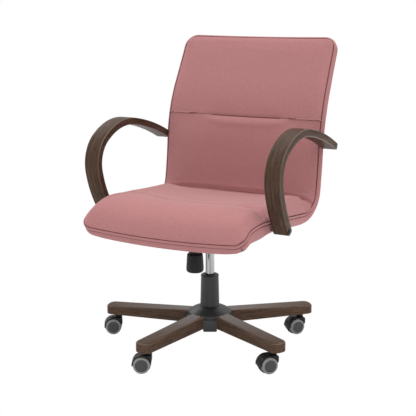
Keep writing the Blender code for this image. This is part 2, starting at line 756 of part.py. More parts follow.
def ply_low(s):
    """Distance of the plywood's outer face from the seam, on the side away from the sitter."""
    below = UNDER_COVER_THICKNESS + (REAR_PAD_THICKNESS - UNDER_COVER_THICKNESS) * back_share(s)
    return -edge_depth(s) + below + SEAT_GAP


def ply_high(s):
    return ply_low(s) + PLY_THICKNESS


def shell_half_width(s):
    """Half width of the outline, which swells up the back and draws in again at its top."""
    rise = smooth_step((s - BEND_START_S) / (BEND_LENGTH * 0.9))
    fall = smooth_step((s - BEND_END_S - LOWER_BACK_LENGTH - LUMBAR_LENGTH / 2) / 0.24)
    return SHELL_HALF_WIDTH + BACK_FLARE * rise * (1.0 - TOP_DRAW_IN * fall)


def half_width_at(s, start, end, inset, start_radius, end_radius):
    """Half width of a blank with rounded corners at its start and end."""
    full = shell_half_width(s) - inset
    width = full
    for radius, distance in ((start_radius, s - start), (end_radius, end - s)):
        if radius > 0.0 and distance < radius:
            reach = math.sqrt(max(radius ** 2 - (radius - distance) ** 2, 0.0))
            width = min(width, full - radius + reach)
    return width


def row_places(start, end, spacing, start_radius, end_radius):
    """Places along a blank: close together round its corners, then evenly spaced."""
    places = []
    corner_steps = 4
    low, high = start, end
    if start_radius > 0.0:
        places += [start + start_radius * (1 - cos(radians(90.0 * k / corner_steps)))
                   for k in range(corner_steps)]
        low = start + start_radius
    if end_radius > 0.0:
        high = end - end_radius
    count = max(int(round((high - low) / spacing)), 1)
    places += [low + (high - low) * k / count for k in range(count + 1)]
    if end_radius > 0.0:
        places += [end - end_radius * (1 - cos(radians(90.0 * (corner_steps - k) / corner_steps)))
                   for k in range(1, corner_steps + 1)]
    return places


def blank_point(across, s, start, end, inset, start_radius, end_radius):
    """A place on a flat blank, with its front edge bowed forwards."""
    width = half_width_at(s, start, end, inset, start_radius, end_radius)
    x = across * width
    fade = 1.0 - smooth_step((s - start) / WATERFALL_LENGTH)
    bowed = s
    if start_radius > 0.0:
        bowed += FRONT_BOW * fade * (x / SHELL_HALF_WIDTH) ** 2
    if end_radius > 0.0:
        bowed += TOP_BOW * smooth_step(1.0 - (end - s) / UPPER_BACK_LENGTH) * (x / SHELL_HALF_WIDTH) ** 2
    return x, bowed


def bent(x, s, height):
    """Roll a point of the flat blank round the side profile.

    Heights are square to the profile, but at the front edge they lean back by no more than FRONT_LEAN.
    """
    y, z, heading = PROFILE.at(s)
    if s < WATERFALL_LENGTH:
        heading = min(heading, FRONT_LEAN)
    lean = radians(heading)
    return Vector((x, y - height * sin(lean), z + height * cos(lean)))


def grid_slab(name, columns, rows, layers, place):
    """A grid, extruded up through its layers, each vertex then put in its place.

    place(column, row, layer) gives the position of one vertex. The quads are split the same way
    everywhere, so that two slabs with the same rows and columns nest.
    """
    bm = bmesh.new()
    bmesh.ops.create_grid(bm, x_segments=columns, y_segments=rows, size=0.5)
    bmesh.ops.triangulate(bm, faces=bm.faces, quad_method="FIXED")
    spots = {}
    for vert in bm.verts:
        column = int(round((vert.co.x + 0.5) * columns))
        row = int(round((vert.co.y + 0.5) * rows))
        spots[vert] = (column, row, 0)
    sheet = bm.faces[:]
    for layer in range(1, layers):
        raised = bmesh.ops.extrude_face_region(bm, geom=sheet)
        if layer > 1:
            bmesh.ops.delete(bm, geom=sheet, context="FACES")
        sheet = [item for item in raised["geom"] if isinstance(item, bmesh.types.BMFace)]
        for vert in {corner for face in sheet for corner in face.verts}:
            column = int(round((vert.co.x + 0.5) * columns))
            row = int(round((vert.co.y + 0.5) * rows))
            spots[vert] = (column, row, layer)
    for vert, (column, row, layer) in spots.items():
        if vert.is_valid:
            vert.co = place(column, row, layer)
    return mesh_of(bm, name)


def bent_slab(name, outline, low, high, rows=None, columns=8):
    """A sheet between two heights, rolled round the side profile.

    The outline is (start, end, inset, radius of the start corners, radius of the end corners);
    rows are the places along it that become rows of vertices.
    """
    start, end, _, start_radius, end_radius = outline
    places = rows or row_places(start, end, SHEET_ROW_SPACING, start_radius, end_radius)

    def place(column, row, layer):
        across = 2.0 * column / columns - 1.0
        x, s = blank_point(across, places[row], *outline)
        return bent(x, s, high(s, across) if layer else low(s, across))

    return grid_slab(name, columns, len(places) - 1, 2, place)


PLY_OUTLINE = (BOXING_WALL, PROFILE.length - BOXING_WALL, BOXING_WALL, FRONT_CORNER_RADIUS - BOXING_WALL,
               TOP_CORNER_RADIUS - BOXING_WALL)
PLY_ROWS = row_places(PLY_OUTLINE[0], PLY_OUTLINE[1], SHEET_ROW_SPACING, PLY_OUTLINE[3], PLY_OUTLINE[4])
COVER_SPLIT = min(PLY_ROWS, key=lambda row: abs(row - BEND_START_S))


def plywood_mesh():
    """The one-piece bent plywood shell."""
    return bent_slab("shell", PLY_OUTLINE, lambda s, across: ply_low(s), lambda s, across: ply_high(s), PLY_ROWS)


def shell_hollow_mesh():
    """The hollow that takes the shell and its covers in the pads, open away from the sitter."""
    start, end, inset, start_radius, end_radius = PLY_OUTLINE
    grown = (start - HOLLOW_GAP, end + HOLLOW_GAP, inset - HOLLOW_GAP, start_radius, end_radius)
    rows = [grown[0]] + PLY_ROWS[1:-1] + [grown[1]]
    return bent_slab("hollow", grown, lambda s, across: -edge_depth(s) - 0.010,
                     lambda s, across: ply_high(s) + HOLLOW_GAP, rows)


def crown_shape(across, along):
    """1 in the middle of a pad, easing to 0 at its rim."""
    side = 1.0 - abs(across) ** 4
    end = 1.0 - abs(2.0 * along - 1.0) ** 6
    return max(side, 0.0) * max(end, 0.0)


def roll_off(distance, width):
    """0 at a seam, rising to 1 where the padded face levels out."""
    return 1.0 - (1.0 - min(max(distance / width, 0.0), 1.0)) ** 2


def seat_level(s):
    """Height over the seam at which the seat's face is level, but for a slight fall to the rear."""
    y, z, heading = PROFILE.at(max(s, SEAT_FRONT_ROLL))
    lean = radians(heading)
    level = (SEAT_LEVEL_Z + SEAT_LEVEL_SLOPE * y - z) / (cos(lean) + SEAT_LEVEL_SLOPE * sin(lean))
    settle = smooth_step((s - JUNCTION_S + SEAT_REAR_ROLL) / SEAT_REAR_ROLL)
    return level + (SEAT_REAR_HEIGHT - level) * settle


def seat_top(s, across):
    x = across * SHELL_HALF_WIDTH
    side = roll_off(SHELL_HALF_WIDTH - abs(x), SEAT_SIDE_ROLL)
    front = roll_off(s, SEAT_FRONT_ROLL)
    middle = max(1.0 - (across / SEAT_DISH_REACH) ** 2, 0.0)
    behind = smooth_step((s - SEAT_CREASE_FROM_FRONT) / SEAT_FRONT_ROLL)
    before_back = 1.0 - smooth_step((s - JUNCTION_S + SEAT_REAR_ROLL) / SEAT_REAR_ROLL)
    crease = math.exp(-((s - SEAT_CREASE_FROM_FRONT) / SEAT_CREASE_WIDTH) ** 2) * (1.0 - across ** 4)
    return seat_level(s) * side * front - SEAT_DISH * middle * behind * before_back - SEAT_CREASE_DEPTH * crease


def back_top(s, across):
    x = across * SHELL_HALF_WIDTH
    side = roll_off(SHELL_HALF_WIDTH - abs(x), BACK_SIDE_ROLL)
    top = roll_off(PROFILE.length - s, BACK_SIDE_ROLL)
    crown = (BACK_CROWN - BACK_SIDE_FALL * across ** 2) * side * top
    from_top = PROFILE.length - s
    reach = 1.0 - smooth_step((abs(x) - BACK_TUCK_HALF_LENGTH) / BACK_TUCK_FADE)
    tuck = math.exp(-((from_top - BACK_TUCK_FROM_TOP) / BACK_TUCK_WIDTH) ** 2) * reach
    return crown - BACK_TUCK_DEPTH * tuck


def welt_width(s):
    front = 1.0 - smooth_step((s - FRONT_CORNER_RADIUS / 2) / FRONT_CORNER_RADIUS)
    return WELT_SIDE_WIDTH + (WELT_FRONT_WIDTH - WELT_SIDE_WIDTH) * front


def pad_mesh(name, start, end, start_radius, end_radius, top, columns, spacing):
    """A crowned pad: boxing that draws in below, a flat welt round its rim, a padded face.

    Layers from below: bottom edge, welt's lower seam, welt's upper seam, padded face.
    """
    places = row_places(start, end, spacing, start_radius, end_radius)
    last = len(places) - 1
    layers = 4

    def across_of(column):
        """Columns run closer together near the sides, where the face rolls over."""
        share = 2.0 * column / columns - 1.0
        return math.copysign(1.0 - (1.0 - abs(share)) ** PAD_COLUMN_CROWDING, share)

    def place(column, row, layer):
        across = across_of(column)
        s = places[row]
        rim = column in (0, columns) or (row == 0 and start_radius > 0) or (row == last and end_radius > 0)
        x, along = blank_point(across, s, start, end, 0.0, start_radius, end_radius)
        depth = edge_depth(along)
        if layer == 0:
            height = -depth
        elif layer == 1:
            height = -welt_width(along)
        elif layer == 2:
            height = 0.0
        else:
            height = max(top(along, across), 0.0) + 0.0012
        pull = 0.0
        if rim:
            pull = (BOXING_PULL_IN, -WELT_PROUD, -WELT_PROUD * 0.5, 0.0030)[layer]
        if pull and column in (0, columns):
            x -= math.copysign(pull, across)
        if pull and row == 0 and start_radius > 0:
            along += pull
        if pull and row == last and end_radius > 0:
            along -= pull
        return bent(x, along, height)

    return grid_slab(name, columns, last, layers, place)


def build_shell(parent):
    """Plywood shell, its pads and its covers."""
    end = PROFILE.length
    shell = plywood_mesh()
    hollow = shell_hollow_mesh()
    seat = pad_mesh("seat_cushion", 0.0, JUNCTION_S - SEAT_GAP, FRONT_CORNER_RADIUS, 0.0, seat_top, 16,
                    SEAT_ROW_SPACING)
    back = pad_mesh("back_cushion", JUNCTION_S + SEAT_GAP, end, 0.0, TOP_CORNER_RADIUS, back_top, 16,
                    BACK_ROW_SPACING)
    seat = cut(seat, [hollow.copy()], "seat_cushion")
    back = cut(back, [hollow], "back_cushion")

    def cover_top(s, across):
        return ply_low(s) - SEAT_GAP

    under = bent_slab("under_cover", PLY_OUTLINE, lambda s, across: -edge_depth(s), cover_top,
                      [row for row in PLY_ROWS if row <= COVER_SPLIT])
    room = PLATE_HALF_WIDTH + PLATE_WINDOW_MARGIN
    window = bent_slab("plate_window", (PLATE_FRONT_S - PLATE_WINDOW_MARGIN, PLATE_REAR_S + PLATE_WINDOW_MARGIN,
                                        SHELL_HALF_WIDTH - room, 0.0, 0.0),
                       lambda s, across: -edge_depth(s) - 0.010, lambda s, across: ply_high(s), None, 1)
    under = cut(under, [window], "under_cover")
    rear = bent_slab("rear_cover", PLY_OUTLINE, lambda s, across: -edge_depth(s) - rear_swell(s, across), cover_top,
                     [COVER_SPLIT + SEAT_GAP] + [row for row in PLY_ROWS if row > COVER_SPLIT])
    pieces = {"shell": (shell, PLY), "seat_cushion": (seat, FABRIC), "back_cushion": (back, FABRIC),
              "under_cover": (under, UNDER_FABRIC), "rear_cover": (rear, FABRIC)}
    return pieces


def rear_swell(s, across):
    """The padded rear panel swells away from its edges."""
    share = (s - BEND_START_S) / (PROFILE.length - BEND_START_S)
    return REAR_PAD_CROWN * crown_shape(across, share)


# Arms

ARM_PATH = ArcPath(ARM_START_Y, ARM_START_Z, ARM_START_HEADING, (
    (ARM_POST_LENGTH, 0.0),
    (ARM_FRONT_RADIUS * radians(-ARM_FRONT_TURN), ARM_FRONT_TURN),
    (ARM_ELBOW_RADIUS * radians(-ARM_ELBOW_TURN), ARM_ELBOW_TURN),
    (ARM_TOP_RADIUS * radians(-ARM_TOP_TURN), ARM_TOP_TURN),
    (ARM_REAR_RADIUS * radians(-ARM_REAR_TURN), ARM_REAR_TURN),
    (ARM_TAIL_LENGTH, 0.0),
))


def arm_mesh():
    """A flat strip of bentwood, bent over in one plane, about x = 0."""
    stops = {0.0, ARM_PATH.length}
    for start, _, _, _, stretch, turn in ARM_PATH.knots:
        stops.add(start)
        if turn:
            count = max(int(abs(turn) / ARM_FACET_TURN), 2)
            stops.update(start + stretch * k / count for k in range(1, count))
    stops = sorted(stops)

    def half(s):
        share = s / ARM_PATH.length
        return (ARM_FRONT_THICKNESS + (ARM_REAR_THICKNESS - ARM_FRONT_THICKNESS) * share) / 2

    outline = [ARM_PATH.offset(s, half(s)) for s in stops]
    outline += [ARM_PATH.offset(s, -half(s)) for s in reversed(stops)]
    return plate_mesh("arm", outline, ARM_WIDTH / 2, ARM_EDGE_ROUNDING, 2)


def stud_places():
    """Where the arm's two studs enter the shell's edge, as (y, z)."""
    seat_s = WATERFALL_LENGTH + CREST_LENGTH + 0.0185
    back_s = BEND_END_S + LOWER_BACK_LENGTH + 0.0060
    places = []
    for s in (seat_s, back_s):
        middle = (ply_low(s) + ply_high(s)) / 2
        places.append(PROFILE.offset(s, middle))
    return places


def stud_mesh(with_collar):
    """A stud along +X from x = 0 at the seam's line, with a collar that spaces the arm off."""
    end = ARM_INNER_X - SHELL_HALF_WIDTH + STUD_IN_ARM
    profile = [(0.0, end), (STUD_RADIUS, end)]
    if with_collar:
        collar_low = WELT_PROUD + 2 * SEAT_GAP
        collar_high = ARM_INNER_X - SHELL_HALF_WIDTH - SEAT_GAP
        profile += [(STUD_RADIUS, collar_high), (STUD_COLLAR_RADIUS, collar_high),
                    (STUD_COLLAR_RADIUS, collar_low), (STUD_RADIUS, collar_low)]
    profile += [(STUD_RADIUS, -STUD_IN_SHELL), (0.0, -STUD_IN_SHELL)]
    return turn_to_x(turned_mesh("arm_stud", profile, SMALL_STEPS))


def drill_at(places, low, high, side):
    """Holes for the studs, as cutters along X on one side of the chair."""
    drills = []
    for y, z in places:
        drill = turn_to_x(rod_mesh("stud_drill", STUD_RADIUS + SEAT_GAP, low, high, SMALL_STEPS))
        drill.transform(Matrix.Translation((0.0, y, z)))
        if side < 0:
            drill.transform(Matrix.Scale(-1.0, 4, (1.0, 0.0, 0.0)))
            drill.flip_normals()
        drills.append(drill)
    return drills


def build_seat(parent):
    """Everything that tilts: shell, pads, arms, studs and the plate of the mechanism."""
    places = stud_places()
    pieces = build_shell(parent)
    depth = STUD_IN_SHELL + SEAT_GAP
    for name in ("shell", "seat_cushion", "back_cushion"):
        mesh, look = pieces[name]
        wanted = places if name == "shell" else places[:1] if name == "seat_cushion" else places[1:]
        drills = []
        for side in (1, -1):
            drills += drill_at(wanted, SHELL_HALF_WIDTH - depth, ARM_INNER_X + BACK_FLARE, side)
        pieces[name] = (cut(mesh, drills, name), look)
    for name, (mesh, look) in pieces.items():
        add_part(name, mesh, look, parent)
    centre_x = ARM_INNER_X + ARM_WIDTH / 2
    studs = {"seat": stud_mesh(True), "back": stud_mesh(False)}
    for side_name, side in (("left", 1), ("right", -1)):
        arm = arm_mesh()
        arm.transform(Matrix.Translation((centre_x * side, 0.0, 0.0)))
        holes = drill_at(places, ARM_INNER_X - 0.01, ARM_INNER_X + STUD_IN_ARM + SEAT_GAP, side)
        add_part(f"arm_{side_name}", cut(arm, holes, "arm"), WOOD, parent)
        for spot, (y, z) in zip(("seat", "back"), places):
            made = add_part(f"arm_stud_{spot}_{side_name}", studs[spot], BLACK_STEEL, parent)
            made.location = (SHELL_HALF_WIDTH * side, y, z)
            made.rotation_euler = (0.0, 0.0, 0.0 if side > 0 else radians(180.0))
    add_part("seat_plate", seat_plate_mesh(), BLACK_STEEL, parent)
    add_part("tilt_pin", tilt_pin_mesh(), STEEL, parent)


# Tilt mechanism


def housing_outline(inset, open_top):
    """Side outline of the pressed-steel housing, in YZ."""
    top_lift = 0.02 if open_top else 0.0
    front = HOUSING_FRONT_Y + inset
    rear = HOUSING_REAR_Y - inset
    low = HOUSING_BOTTOM_Z + inset
    return [(front, low + 0.010), (front + 0.012, low), (rear - 0.006, low), (rear, low + 0.006),
            (rear, HOUSING_REAR_TOP_Z + top_lift), (PIN_Y + 0.020, HOUSING_FRONT_TOP_Z + top_lift),
            (front, HOUSING_FRONT_TOP_Z + top_lift)]


def housing_mesh():
    """An open trough with a socket for the piston, holes for pin and bolt, and a lever window."""
    body = plate_mesh("housing", housing_outline(0.0, False), HOUSING_HALF_WIDTH)
    inside = plate_mesh("housing_inside", housing_outline(HOUSING_WALL, True), HOUSING_HALF_WIDTH - HOUSING_WALL)
    trough = cut(body, [inside], "tilt_housing")
    socket = rod_mesh("socket", SOCKET_RADIUS + SOCKET_WALL, HOUSING_BOTTOM_Z + HOUSING_WALL / 2, SOCKET_TOP_Z,
                      FINE_STEPS)
    trough = join(trough, [socket], "tilt_housing")
    bore = rod_mesh("socket_bore", SOCKET_RADIUS, HOUSING_BOTTOM_Z - 0.01, SOCKET_TOP_Z + 0.01, FINE_STEPS)
    pin_hole = turn_to_x(rod_mesh("pin_hole", PIN_RADIUS + RUN_GAP, -CUT_REACH, CUT_REACH, 16))
    pin_hole.transform(Matrix.Translation((0.0, PIN_Y, PIN_Z)))
    bolt_hole = rod_mesh("bolt_hole", BOLT_RADIUS + RUN_GAP, HOUSING_BOTTOM_Z - 0.01, HOUSING_BOTTOM_Z + 0.01, 16)
    bolt_hole.transform(Matrix.Translation((0.0, KNOB_Y, 0.0)))
    lever_window = turn_to_x(rod_mesh("lever_window", LEVER_RADIUS + RUN_GAP, -CUT_REACH, 2 * HOUSING_WALL - HOUSING_HALF_WIDTH, 16))
    lever_window.transform(Matrix.Translation((0.0, LEVER_Y, LEVER_Z)))
    return cut(trough, [bore, pin_hole, bolt_hole, lever_window], "tilt_housing")


def seat_plate_mesh():
    """The steel plate under the shell, with two ears down to the tilt pin."""
    def high(s, across):
        return ply_low(s) - SEAT_GAP

    def low(s, across):
        return ply_low(s) - SEAT_GAP - PLATE_THICKNESS

    plate = bent_slab("seat_plate", (PLATE_FRONT_S, PLATE_REAR_S, SHELL_HALF_WIDTH - PLATE_HALF_WIDTH, 0.0, 0.0),
                      low, high, [PLATE_FRONT_S, PLATE_REAR_S], 1)
    ears = []
    inner = HOUSING_HALF_WIDTH + RUN_GAP
    top_s = WATERFALL_LENGTH + CREST_LENGTH + (PIN_Y - PROFILE.at(WATERFALL_LENGTH + CREST_LENGTH)[0])
    middle = -(SEAT_EDGE_DEPTH - PLATE_THICKNESS / 2)
    top_front = PROFILE.offset(top_s - EAR_HALF_LENGTH * 1.4, middle)
    top_rear = PROFILE.offset(top_s + EAR_HALF_LENGTH * 1.4, middle)
    outline = [top_front]
    for k in range(9):
        turn = radians(180.0 + 180.0 * k / 8)
        outline.append((PIN_Y + EAR_HALF_LENGTH * 0.7 * cos(turn), PIN_Z + EAR_HALF_LENGTH * 0.7 * sin(turn)))
    outline.append(top_rear)
    pin_hole = turn_to_x(rod_mesh("ear_hole", PIN_RADIUS + SEAT_GAP, -0.06, 0.06, 16))
    pin_hole.transform(Matrix.Translation((0.0, PIN_Y, PIN_Z)))
    for side in (1, -1):
        ear = plate_mesh("ear", outline, EAR_THICKNESS / 2)
        ear.transform(Matrix.Translation((side * (inner + EAR_THICKNESS / 2), 0.0, 0.0)))
        ears.append(ear)
    return cut(join(plate, ears, "seat_plate"), [pin_hole], "seat_plate")


def tilt_pin_mesh():
    """A headed pin through housing and ears, along X."""
    reach = HOUSING_HALF_WIDTH + RUN_GAP + EAR_THICKNESS + SEAT_GAP
    profile = [(0.0, reach + PIN_HEAD_LENGTH), (PIN_HEAD_RADIUS, reach + PIN_HEAD_LENGTH),
               (PIN_HEAD_RADIUS, reach), (PIN_RADIUS, reach), (PIN_RADIUS, -reach),
               (PIN_HEAD_RADIUS, -reach), (PIN_HEAD_RADIUS, -reach - PIN_HEAD_LENGTH),
               (0.0, -reach - PIN_HEAD_LENGTH)]
    pin = turn_to_x(turned_mesh("tilt_pin", profile, 16))
    pin.transform(Matrix.Translation((0.0, PIN_Y, PIN_Z)))
    return pin


def spring_mesh():
    """A torsion spring wound round the tilt pin, between the housing's walls."""
    wind = PIN_RADIUS + SPRING_WIRE_RADIUS + 0.0006
    per_turn = 10
    count = SPRING_TURNS * per_turn
    coil = bpy.data.curves.new("spring_path", "CURVE")
    coil.dimensions = "3D"
    coil.bevel_depth = SPRING_WIRE_RADIUS
    coil.bevel_resolution = 1
    coil.use_fill_caps = True
    coil.resolution_u = 1
    spline = coil.splines.new("POLY")
    spline.points.add(count)
    for index, point in enumerate(spline.points):
        turn = 2 * math.pi * index / per_turn
        x = SPRING_LENGTH * (index / count - 0.5)
        point.co = (x, PIN_Y + wind * cos(turn), PIN_Z + wind * sin(turn), 1.0)
    holder = bpy.data.objects.new("spring_holder", coil)
    CUTTERS.objects.link(holder)
    made = weld(baked(holder, "tilt_spring"), 0.000001)
    remove(holder)
    return made


def knob_mesh():
    """The fluted tension knob, wider below, with a plain neck against the housing."""
    count = KNOB_FLUTES * 3
    neck_top = HOUSING_BOTTOM_Z - SEAT_GAP
    bore = BOLT_RADIUS + RUN_GAP
    profile = [
        (0.0, KNOB_BORE_FLOOR_Z),
        (bore, KNOB_BORE_FLOOR_Z),
        (bore, neck_top),
        (KNOB_NECK_RADIUS, neck_top),
        (KNOB_NECK_RADIUS, KNOB_TOP_Z),
        (KNOB_TOP_RADIUS - 0.0030, KNOB_TOP_Z),
        (KNOB_TOP_RADIUS, KNOB_TOP_Z - 0.0030),
        (KNOB_BOTTOM_RADIUS, KNOB_BOTTOM_Z + 0.0040),
        (KNOB_BOTTOM_RADIUS * 0.90, KNOB_BOTTOM_Z),
        (0.0, KNOB_BOTTOM_Z),
    ]
    made = turned_mesh("tension_knob", profile, count)
    bm = bmesh.new()
    bm.from_mesh(made)
    low = KNOB_BOTTOM_Z + 0.0030
    high = KNOB_TOP_Z - 0.0025
    for vert in bm.verts:
        radius = math.hypot(vert.co.x, vert.co.y)
        if low < vert.co.z < high and radius > KNOB_NECK_RADIUS:
            step = int(round(math.atan2(vert.co.y, vert.co.x) / (2 * math.pi) * count))
            if step % 3 == 0:
                vert.co.x *= 1.0 - KNOB_FLUTE_DEPTH / radius
                vert.co.y *= 1.0 - KNOB_FLUTE_DEPTH / radius
    bmesh.ops.recalc_face_normals(bm, faces=bm.faces)
    bm.to_mesh(made)
    bm.free()
    return made


def tension_bolt_mesh():
    """The bolt that the knob turns on, with a hexagon nut on the housing's floor."""
    floor = HOUSING_BOTTOM_Z + HOUSING_WALL + SEAT_GAP
    bottom = KNOB_BORE_FLOOR_Z + RUN_GAP
    shank = rod_mesh("bolt_shank", BOLT_RADIUS, bottom, floor + BOLT_NUT_HEIGHT + 0.006, SMALL_STEPS)
    nut = rod_mesh("bolt_nut", BOLT_NUT_RADIUS, floor, floor + BOLT_NUT_HEIGHT, 6)
    return join(shank, [nut], "tension_bolt")


def build_mechanism(carrier):
    housing = add_part("tilt_housing", housing_mesh(), BLACK_STEEL, carrier)
    add_part("tilt_spring", spring_mesh(), STEEL, housing)
    bolt = add_part("tension_bolt", tension_bolt_mesh(), STEEL, housing)
    bolt.location = (0.0, KNOB_Y, 0.0)
    knob = add_part("tension_knob", knob_mesh(), BLACK_PLASTIC, housing)
    knob.location = (0.0, KNOB_Y, 0.0)
    pivot_x = -(HOUSING_HALF_WIDTH - HOUSING_WALL / 2)
    lever_axis = empty("height_lever_axis", (pivot_x, LEVER_Y, LEVER_Z), 0.0, housing)
    inner_end = -(SOCKET_RADIUS + SOCKET_WALL + 0.0010)
    rod = turn_to_x(rod_mesh("height_lever", LEVER_RADIUS, LEVER_END_X - pivot_x, inner_end - pivot_x, SMALL_STEPS))
    add_part("height_lever", rod, BLACK_STEEL, lever_axis)
    grip_low = LEVER_END_X - 0.0040 - pivot_x
    bore = LEVER_RADIUS + SEAT_GAP
    profile = [(bore, grip_low + GRIP_LENGTH), (GRIP_RADIUS * 0.7, grip_low + GRIP_LENGTH),
               (GRIP_RADIUS, grip_low + GRIP_LENGTH * 0.6), (GRIP_RADIUS, grip_low + 0.0030),
               (GRIP_RADIUS * 0.7, grip_low), (0.0, grip_low), (0.0, grip_low + 0.0040 - SEAT_GAP),
               (bore, grip_low + 0.0040 - SEAT_GAP)]
    grip = turn_to_x(turned_mesh("lever_grip", profile, SMALL_STEPS, closed=True))
    add_part("lever_grip", grip, BLACK_PLASTIC, lever_axis)


def main():
    root = build_base()
    build_castors(root)
    lift = empty("lift", parent=root)
    add_part("piston", piston_mesh(), CHROME, lift)
    turntable = empty("turntable", parent=lift)
    build_mechanism(turntable)
    tilt = empty("tilt_axis", (0.0, PIN_Y, PIN_Z), 0.0, turntable)
    seat = empty("seat_group", (0.0, -PIN_Y, -PIN_Z), 0.0, tilt)
    build_seat(seat)
    bpy.context.view_layer.update()


main()
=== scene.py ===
"""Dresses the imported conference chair: fabric, stained wood, plastic, chrome, light and camera."""

import math
from math import cos, radians, sin

import bmesh
import bpy
from mathutils import Matrix, Vector, noise


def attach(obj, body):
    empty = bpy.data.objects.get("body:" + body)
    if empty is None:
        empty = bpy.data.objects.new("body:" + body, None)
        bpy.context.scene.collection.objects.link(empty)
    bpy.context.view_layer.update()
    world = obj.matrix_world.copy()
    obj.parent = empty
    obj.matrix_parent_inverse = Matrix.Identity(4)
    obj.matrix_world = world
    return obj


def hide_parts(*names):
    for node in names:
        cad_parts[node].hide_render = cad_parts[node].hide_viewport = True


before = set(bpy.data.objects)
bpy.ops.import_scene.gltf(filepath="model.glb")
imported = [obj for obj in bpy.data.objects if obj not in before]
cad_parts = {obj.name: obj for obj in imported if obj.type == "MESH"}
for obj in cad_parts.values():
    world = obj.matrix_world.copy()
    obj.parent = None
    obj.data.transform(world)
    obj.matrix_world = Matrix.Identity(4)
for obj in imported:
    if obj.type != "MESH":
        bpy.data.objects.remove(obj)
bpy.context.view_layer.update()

# Side profile of the seam round the upholstery, as in the CAD: each stretch is a tangent arc
PROFILE_START = (-0.3120, 0.4030, 62.0)
WATERFALL_LENGTH = 0.0800
CREST_LENGTH = 0.1000
SEAT_FLAT_LENGTH = 0.2735
BEND_RADIUS = 0.0716
BEND_TURN = 86.0
BEND_LENGTH = BEND_RADIUS * radians(BEND_TURN)
LOWER_BACK_LENGTH = 0.1300
LUMBAR_LENGTH = 0.1900
UPPER_BACK_LENGTH = 0.1735
STRETCHES = ((WATERFALL_LENGTH, -54.0), (CREST_LENGTH, -14.0), (SEAT_FLAT_LENGTH, 0.0),
             (BEND_LENGTH, BEND_TURN), (LOWER_BACK_LENGTH, 6.0), (LUMBAR_LENGTH, -24.0),
             (UPPER_BACK_LENGTH, 0.0))
BEND_START_S = WATERFALL_LENGTH + CREST_LENGTH + SEAT_FLAT_LENGTH
BEND_END_S = BEND_START_S + BEND_LENGTH
JUNCTION_SHARE = 0.71
JUNCTION_S = BEND_START_S + BEND_LENGTH * JUNCTION_SHARE
JUNCTION_FALL = 0.0170

# Upholstery
HALF_WIDTH = 0.2640
BACK_FLARE = 0.0108
TOP_DRAW_IN = 0.4
FRONT_RADIUS = 0.0320
TOP_RADIUS = 0.0420
CORNER_LIFT = 0.0062
FRONT_BOW = 0.0120
TOP_BOW = 0.0030
FRONT_LEAN = 28.0
SEAT_DEPTH = 0.0340
BACK_DEPTH = 0.0240
WELT_FRONT = 0.0120
WELT_SIDE = 0.0085
LEVEL_Z = 0.4790
LEVEL_SLOPE = -0.0655
FRONT_ROLL = 0.1500
SIDE_ROLL = 0.0350
CORNER_PULL = 0.0045
REAR_HEIGHT = 0.0150
REAR_ROLL = 0.0550
DISH = 0.0120
BACK_CROWN = 0.0160
BACK_SIDE_FALL = 0.0040
BACK_ROLL = 0.0300
BAND_PROUD = 0.0024
PAD_INSET = 0.0006
BACK_PAD_INSET = 0.0048
TUCK_FROM_TOP = 0.2785
TUCK_RISE = 0.0050
CREASE = ((-0.264, 0.180), (-0.200, 0.202), (-0.150, 0.197), (-0.070, 0.166), (0.000, 0.150), (0.065, 0.161),
          (0.137, 0.187), (0.190, 0.195), (0.225, 0.184), (0.245, 0.171), (0.270, 0.150))
CREASE_ROW_S = 0.180
FOLD_STEPS = (0.0012, 0.0026, 0.0044, 0.0068, 0.0100)
SEAT_FOLD = 0.0060
SHOULDER_FOLD = 0.0085
BACK_TUCK = 0.0072
TUCK_LINE = 0.0010
BACK_PUFF = 0.0050
JUNCTION_SINK = 0.0060
CORNER_STEPS = 10
PAD_THICKNESS = 0.0040
PANEL_INSET = 0.0062
PANEL_RIM = 0.0060
PANEL_THICKNESS = 0.0015
PANEL_SPACING = 0.0100
PANEL_COLUMNS = 44

# Cloth
CLOTH_SPACING = 0.0046
CLOTH_FRAMES = 20
SEAT_PRESSURE = 3.0
SEAT_CAP = 0.0030
BACK_PRESSURE = 2.0
BACK_CAP = 0.0022
LEAST_HOLD = 0.01
CLOTH_SETTINGS = {"quality": 6, "mass": 0.25, "tension_stiffness": 18.0, "compression_stiffness": 18.0,
                  "shear_stiffness": 6.0, "bending_stiffness": 1.2, "pin_stiffness": 1.0, "use_pressure": True}

# Arms
ARM_START = (-0.1193, 0.4139, 121.6)
ARM_STRETCHES = ((0.0550, 0.0), (0.3160, -18.2), (0.0921, -68.7), (0.2200, -44.0), (0.8200, -14.5),
                 (0.0284, 0.0))
ARM_INNER_X = 0.2735
ARM_WIDTH = 0.0500
ARM_THICKNESS = (0.0234, 0.0212)
ARM_ROUNDING = 0.0024
ARM_END_ROUNDING = 0.0080
ARM_BOLT = (-0.1334, 0.4232)
ARM_STEPS = 110
ARM_ARC_STEPS = 4

# Base
LEG_COUNT = 5
FIRST_LEG_ANGLE = 118.5
LEG_ROOT_RADIUS = 0.0463
LEG_TIP_RADIUS = 0.3465
LEG_WIDTH = 0.0525
LEG_CORNER = 0.0205
LEG_SLOPE_START = 0.0460
LEG_BOTTOM_Z = 0.0670
LEG_TIP_TOP_Z = 0.0960
LEG_ROOT_TOP_Z = 0.1070
HUB_SLOPE_RADIUS = 0.0500
HUB_SLOPE_FROM_Z = 0.0950
HUB_SLOPE = 0.45
CASTOR_PIVOT_RADIUS = 0.3095
CASTOR_HEADING = 297.9
CASTOR_TURNS = (97.0, 6.0, 0.0, 22.0, 24.0)
CASTOR_TRAIL = 0.0190
WHEEL_RADIUS = 0.0250
WHEEL_WIDTH = 0.0185
DISK_RADIUS = 0.0184
WHEEL_INNER_X = 0.0059
HOOD_HALF_WIDTH = 0.0190
HOOD_INNER_RADIUS = 0.0262
HOOD_WALL = 0.0030
NECK_RADIUS = 0.0105
